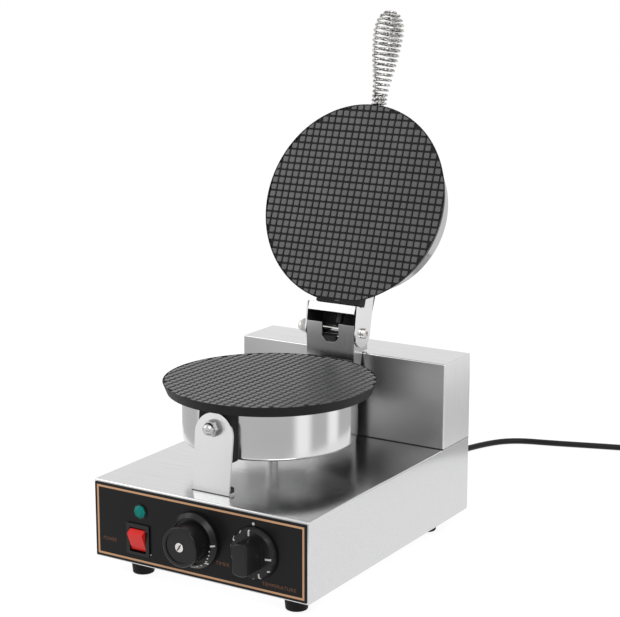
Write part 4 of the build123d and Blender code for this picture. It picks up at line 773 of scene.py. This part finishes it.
# ---------------------------------------------------------------- seams and small blocks
# The cover's black lips, painted shade in the hinge's opening: from HINGE, their inner and outer side, their foot
# and top, their rear end; and how far behind the drum they begin
LIP_SIDES, LIP_LEVELS, LIP_REAR, LIP_FRONT = (28.6, 28.95), (10.4, 13), 9, 3
# Black strips at the foot of the upright and of the housing: dark joints, partly painted contact shadow
UPRIGHT_SEAM_GAP, UPRIGHT_SEAM_H = 0.4, 0.5
HOUSING_SEAM_GAP, HOUSING_SEAM_H = 0.15, 0.9


def add_block(name, low, high, body, turn=STILL, swing=STILL):
    """A plain black block between two corners, turned about its middle and swung with its body."""
    shape = bmesh.new()
    bmesh.ops.create_cube(shape, size=1)
    low, high = Vector(low), Vector(high)
    for vert in shape.verts:
        vert.co = Vector(tuple(part * size for part, size in zip(vert.co, high - low)))
    move = swing @ Matrix.Translation((low + high) / 2) @ turn
    bmesh.ops.transform(shape, matrix=move, verts=shape.verts)
    piece = linked(name, mesh_of(shape, name), "panel_black", LOOKS["black_paint"])
    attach(piece, body)


def add_screw_slot_shade():
    """A black bar across the timer knob's screw: painted shade for its slot."""
    middle, half = middle_of("timer_knob_screw"), mm(*SLOT_HALF)
    middle.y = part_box("timer_knob_screw")[0].y
    turn = Matrix.Rotation(math.radians(SLOT_TURN), 4, "Y")
    add_block("timer_screw_slot_shade", middle - half, middle + half, BODY_OF["timer_knob_screw"], turn)


def add_cover_shade_lips():
    """Narrow black lips down both sides of the hinge cover, which close its gap to the yoke's ears: painted shade
    in the hinge's opening.
    """
    front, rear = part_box("lower_drum")[1].y + LIP_FRONT * MM, HINGE.y - LIP_REAR * MM
    foot, top = (HINGE.z + level * MM for level in LIP_LEVELS)
    for side in (1, -1):
        near, far = sorted(HINGE.x + side * reach * MM for reach in LIP_SIDES)
        corners = ((near, front, foot), (far, rear, top))
        add_block(f"hinge_cover_shade_lip_{side}", *corners, "lid", swing=LID_OPEN)


def add_seams_and_shadows():
    """Dark joint lines where the rear housing and the front upright stand on the base, which are partly painted
    shadow at their foot.
    """
    low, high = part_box("front_upright")
    gap, top = UPRIGHT_SEAM_GAP * MM, BASE_TOP + UPRIGHT_SEAM_H * MM
    corners = ((low.x - gap, low.y - gap, BASE_TOP), (high.x + gap, low.y, top))
    add_block("upright_seam_shadow", *corners, "base")
    low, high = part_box("rear_housing")
    gap, tall = HOUSING_SEAM_GAP * MM, HOUSING_SEAM_H * MM
    corners = ((low.x, low.y - gap, BASE_TOP), (high.x, low.y, BASE_TOP + tall))
    add_block("housing_front_seam_shadow", *corners, "base")
    for name, x0, x1 in (("left", low.x - gap, low.x), ("right", high.x, high.x + gap)):
        corners = ((x0, low.y, BASE_TOP), (x1, high.y, BASE_TOP + tall / 2))
        add_block("housing_" + name + "_seam", *corners, "base")


# ---------------------------------------------------------------- cord
CORD_R, CORD_GAP = 3.5, 0.1
CORD_LOW = CORD_R + CORD_GAP
# The cord's points for front_point(): from the gland across the floor, and from the coil to the plug
LEAD_ROUTE = [
    (-20, 346, 41), (-20, 376, 41), (-18, 404, 27), (-15, 432, 5.5), (-11, 466, CORD_LOW),
    (1, 512, CORD_LOW), (20, 571, CORD_LOW), (43, 601, CORD_LOW), (89, 614.5, CORD_LOW),
    (137, 631.5, CORD_LOW), (184, 647, CORD_LOW),
]
TAIL_ROUTE = [(282.8, 603, 13), (288.8, 577, 18.5), (294, 551.5, 18.5)]
COIL_CENTRE = (234.0, 617.5)
COIL_OUTER, COIL_PITCH = 45.8, 7.3
# The coil's first bearing in degrees, its turns, and how many of them it climbs in to the upper layer
COIL_START, COIL_TURNS, COIL_CLIMB = 110, 4 + 98 / 360, 0.4
POINTS_PER_TURN = 16
CORD_ROUNDNESS, CORD_STEPS = 6, 6


def coil_points():
    """Two turns inwards on the floor, two outwards on top of them, clockwise from above."""
    points = []
    count = int(COIL_TURNS * POINTS_PER_TURN)
    for step in range(count + 1):
        turns = COIL_TURNS * step / count
        radius = COIL_OUTER - COIL_PITCH * min(turns, COIL_TURNS - turns)
        climb = min(1.0, max(0.0, (turns - COIL_TURNS / 2) / COIL_CLIMB + 0.5))
        height = CORD_LOW + (2 * CORD_R + CORD_GAP) * climb * climb * (3 - 2 * climb)
        angle = math.radians(COIL_START - 360 * turns)
        x, y = COIL_CENTRE[0] + radius * math.cos(angle), COIL_CENTRE[1] + radius * math.sin(angle)
        points.append((x, y, height))
    return points


def add_cord():
    """The mains cord: one smooth line from the gland, through its coil, to the plug."""
    points = [front_point(*point) for point in LEAD_ROUTE + coil_points() + TAIL_ROUTE]
    curve = bpy.data.curves.new("mains_cord", "CURVE")
    curve.dimensions = "3D"
    curve.bevel_depth = CORD_R * MM
    curve.bevel_resolution = CORD_ROUNDNESS
    curve.resolution_u = CORD_STEPS
    curve.use_fill_caps = True
    spline = curve.splines.new("NURBS")
    spline.points.add(len(points) - 1)
    for target, point in zip(spline.points, points):
        target.co = (*point, 1)
    spline.order_u = 3
    spline.use_endpoint_u = True
    cord = placed("mains_cord", curve)
    curve.materials.append(LOOKS["cord_black"])
    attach(cord, "base")
    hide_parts("cord_lead", "cord_coil", "cord_tail")
    gland, plug, pins = dressed("cord_gland"), dressed("plug_body"), dressed("plug_pins")


# ---------------------------------------------------------------- build
# Nodes that add_cord() and add_plate() dress or replace
DRESSED_APART = {
    "cord_gland", "plug_body", "plug_pins", "cord_lead", "cord_coil", "cord_tail",
    "lower_plate", "upper_plate",
}

add_camera()
add_world()
for lamp in LAMPS:
    add_lamp(*lamp)
add_floor()
add_tent()
add_cord()
for node in frame["nodes"]:
    if node not in DRESSED_APART:
        dressed(node)
repaint_sheets()
plate_centre, lower_face = middle_of("lower_drum"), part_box("lower_plate")[1].z
add_plate("lower_plate", plate_centre, lower_face, 1, STILL)
add_plate("upper_plate", plate_centre, lower_face + FACE_GAP * MM, -1, LID_OPEN)
for knob in MARKS:
    add_knob_marks(knob)
add_panel_print_and_glint()
add_captions()
add_screw_slot_shade()
add_cover_shade_lips()
add_seams_and_shadows()

scene = bpy.context.scene
scene.view_settings.view_transform = "Standard"
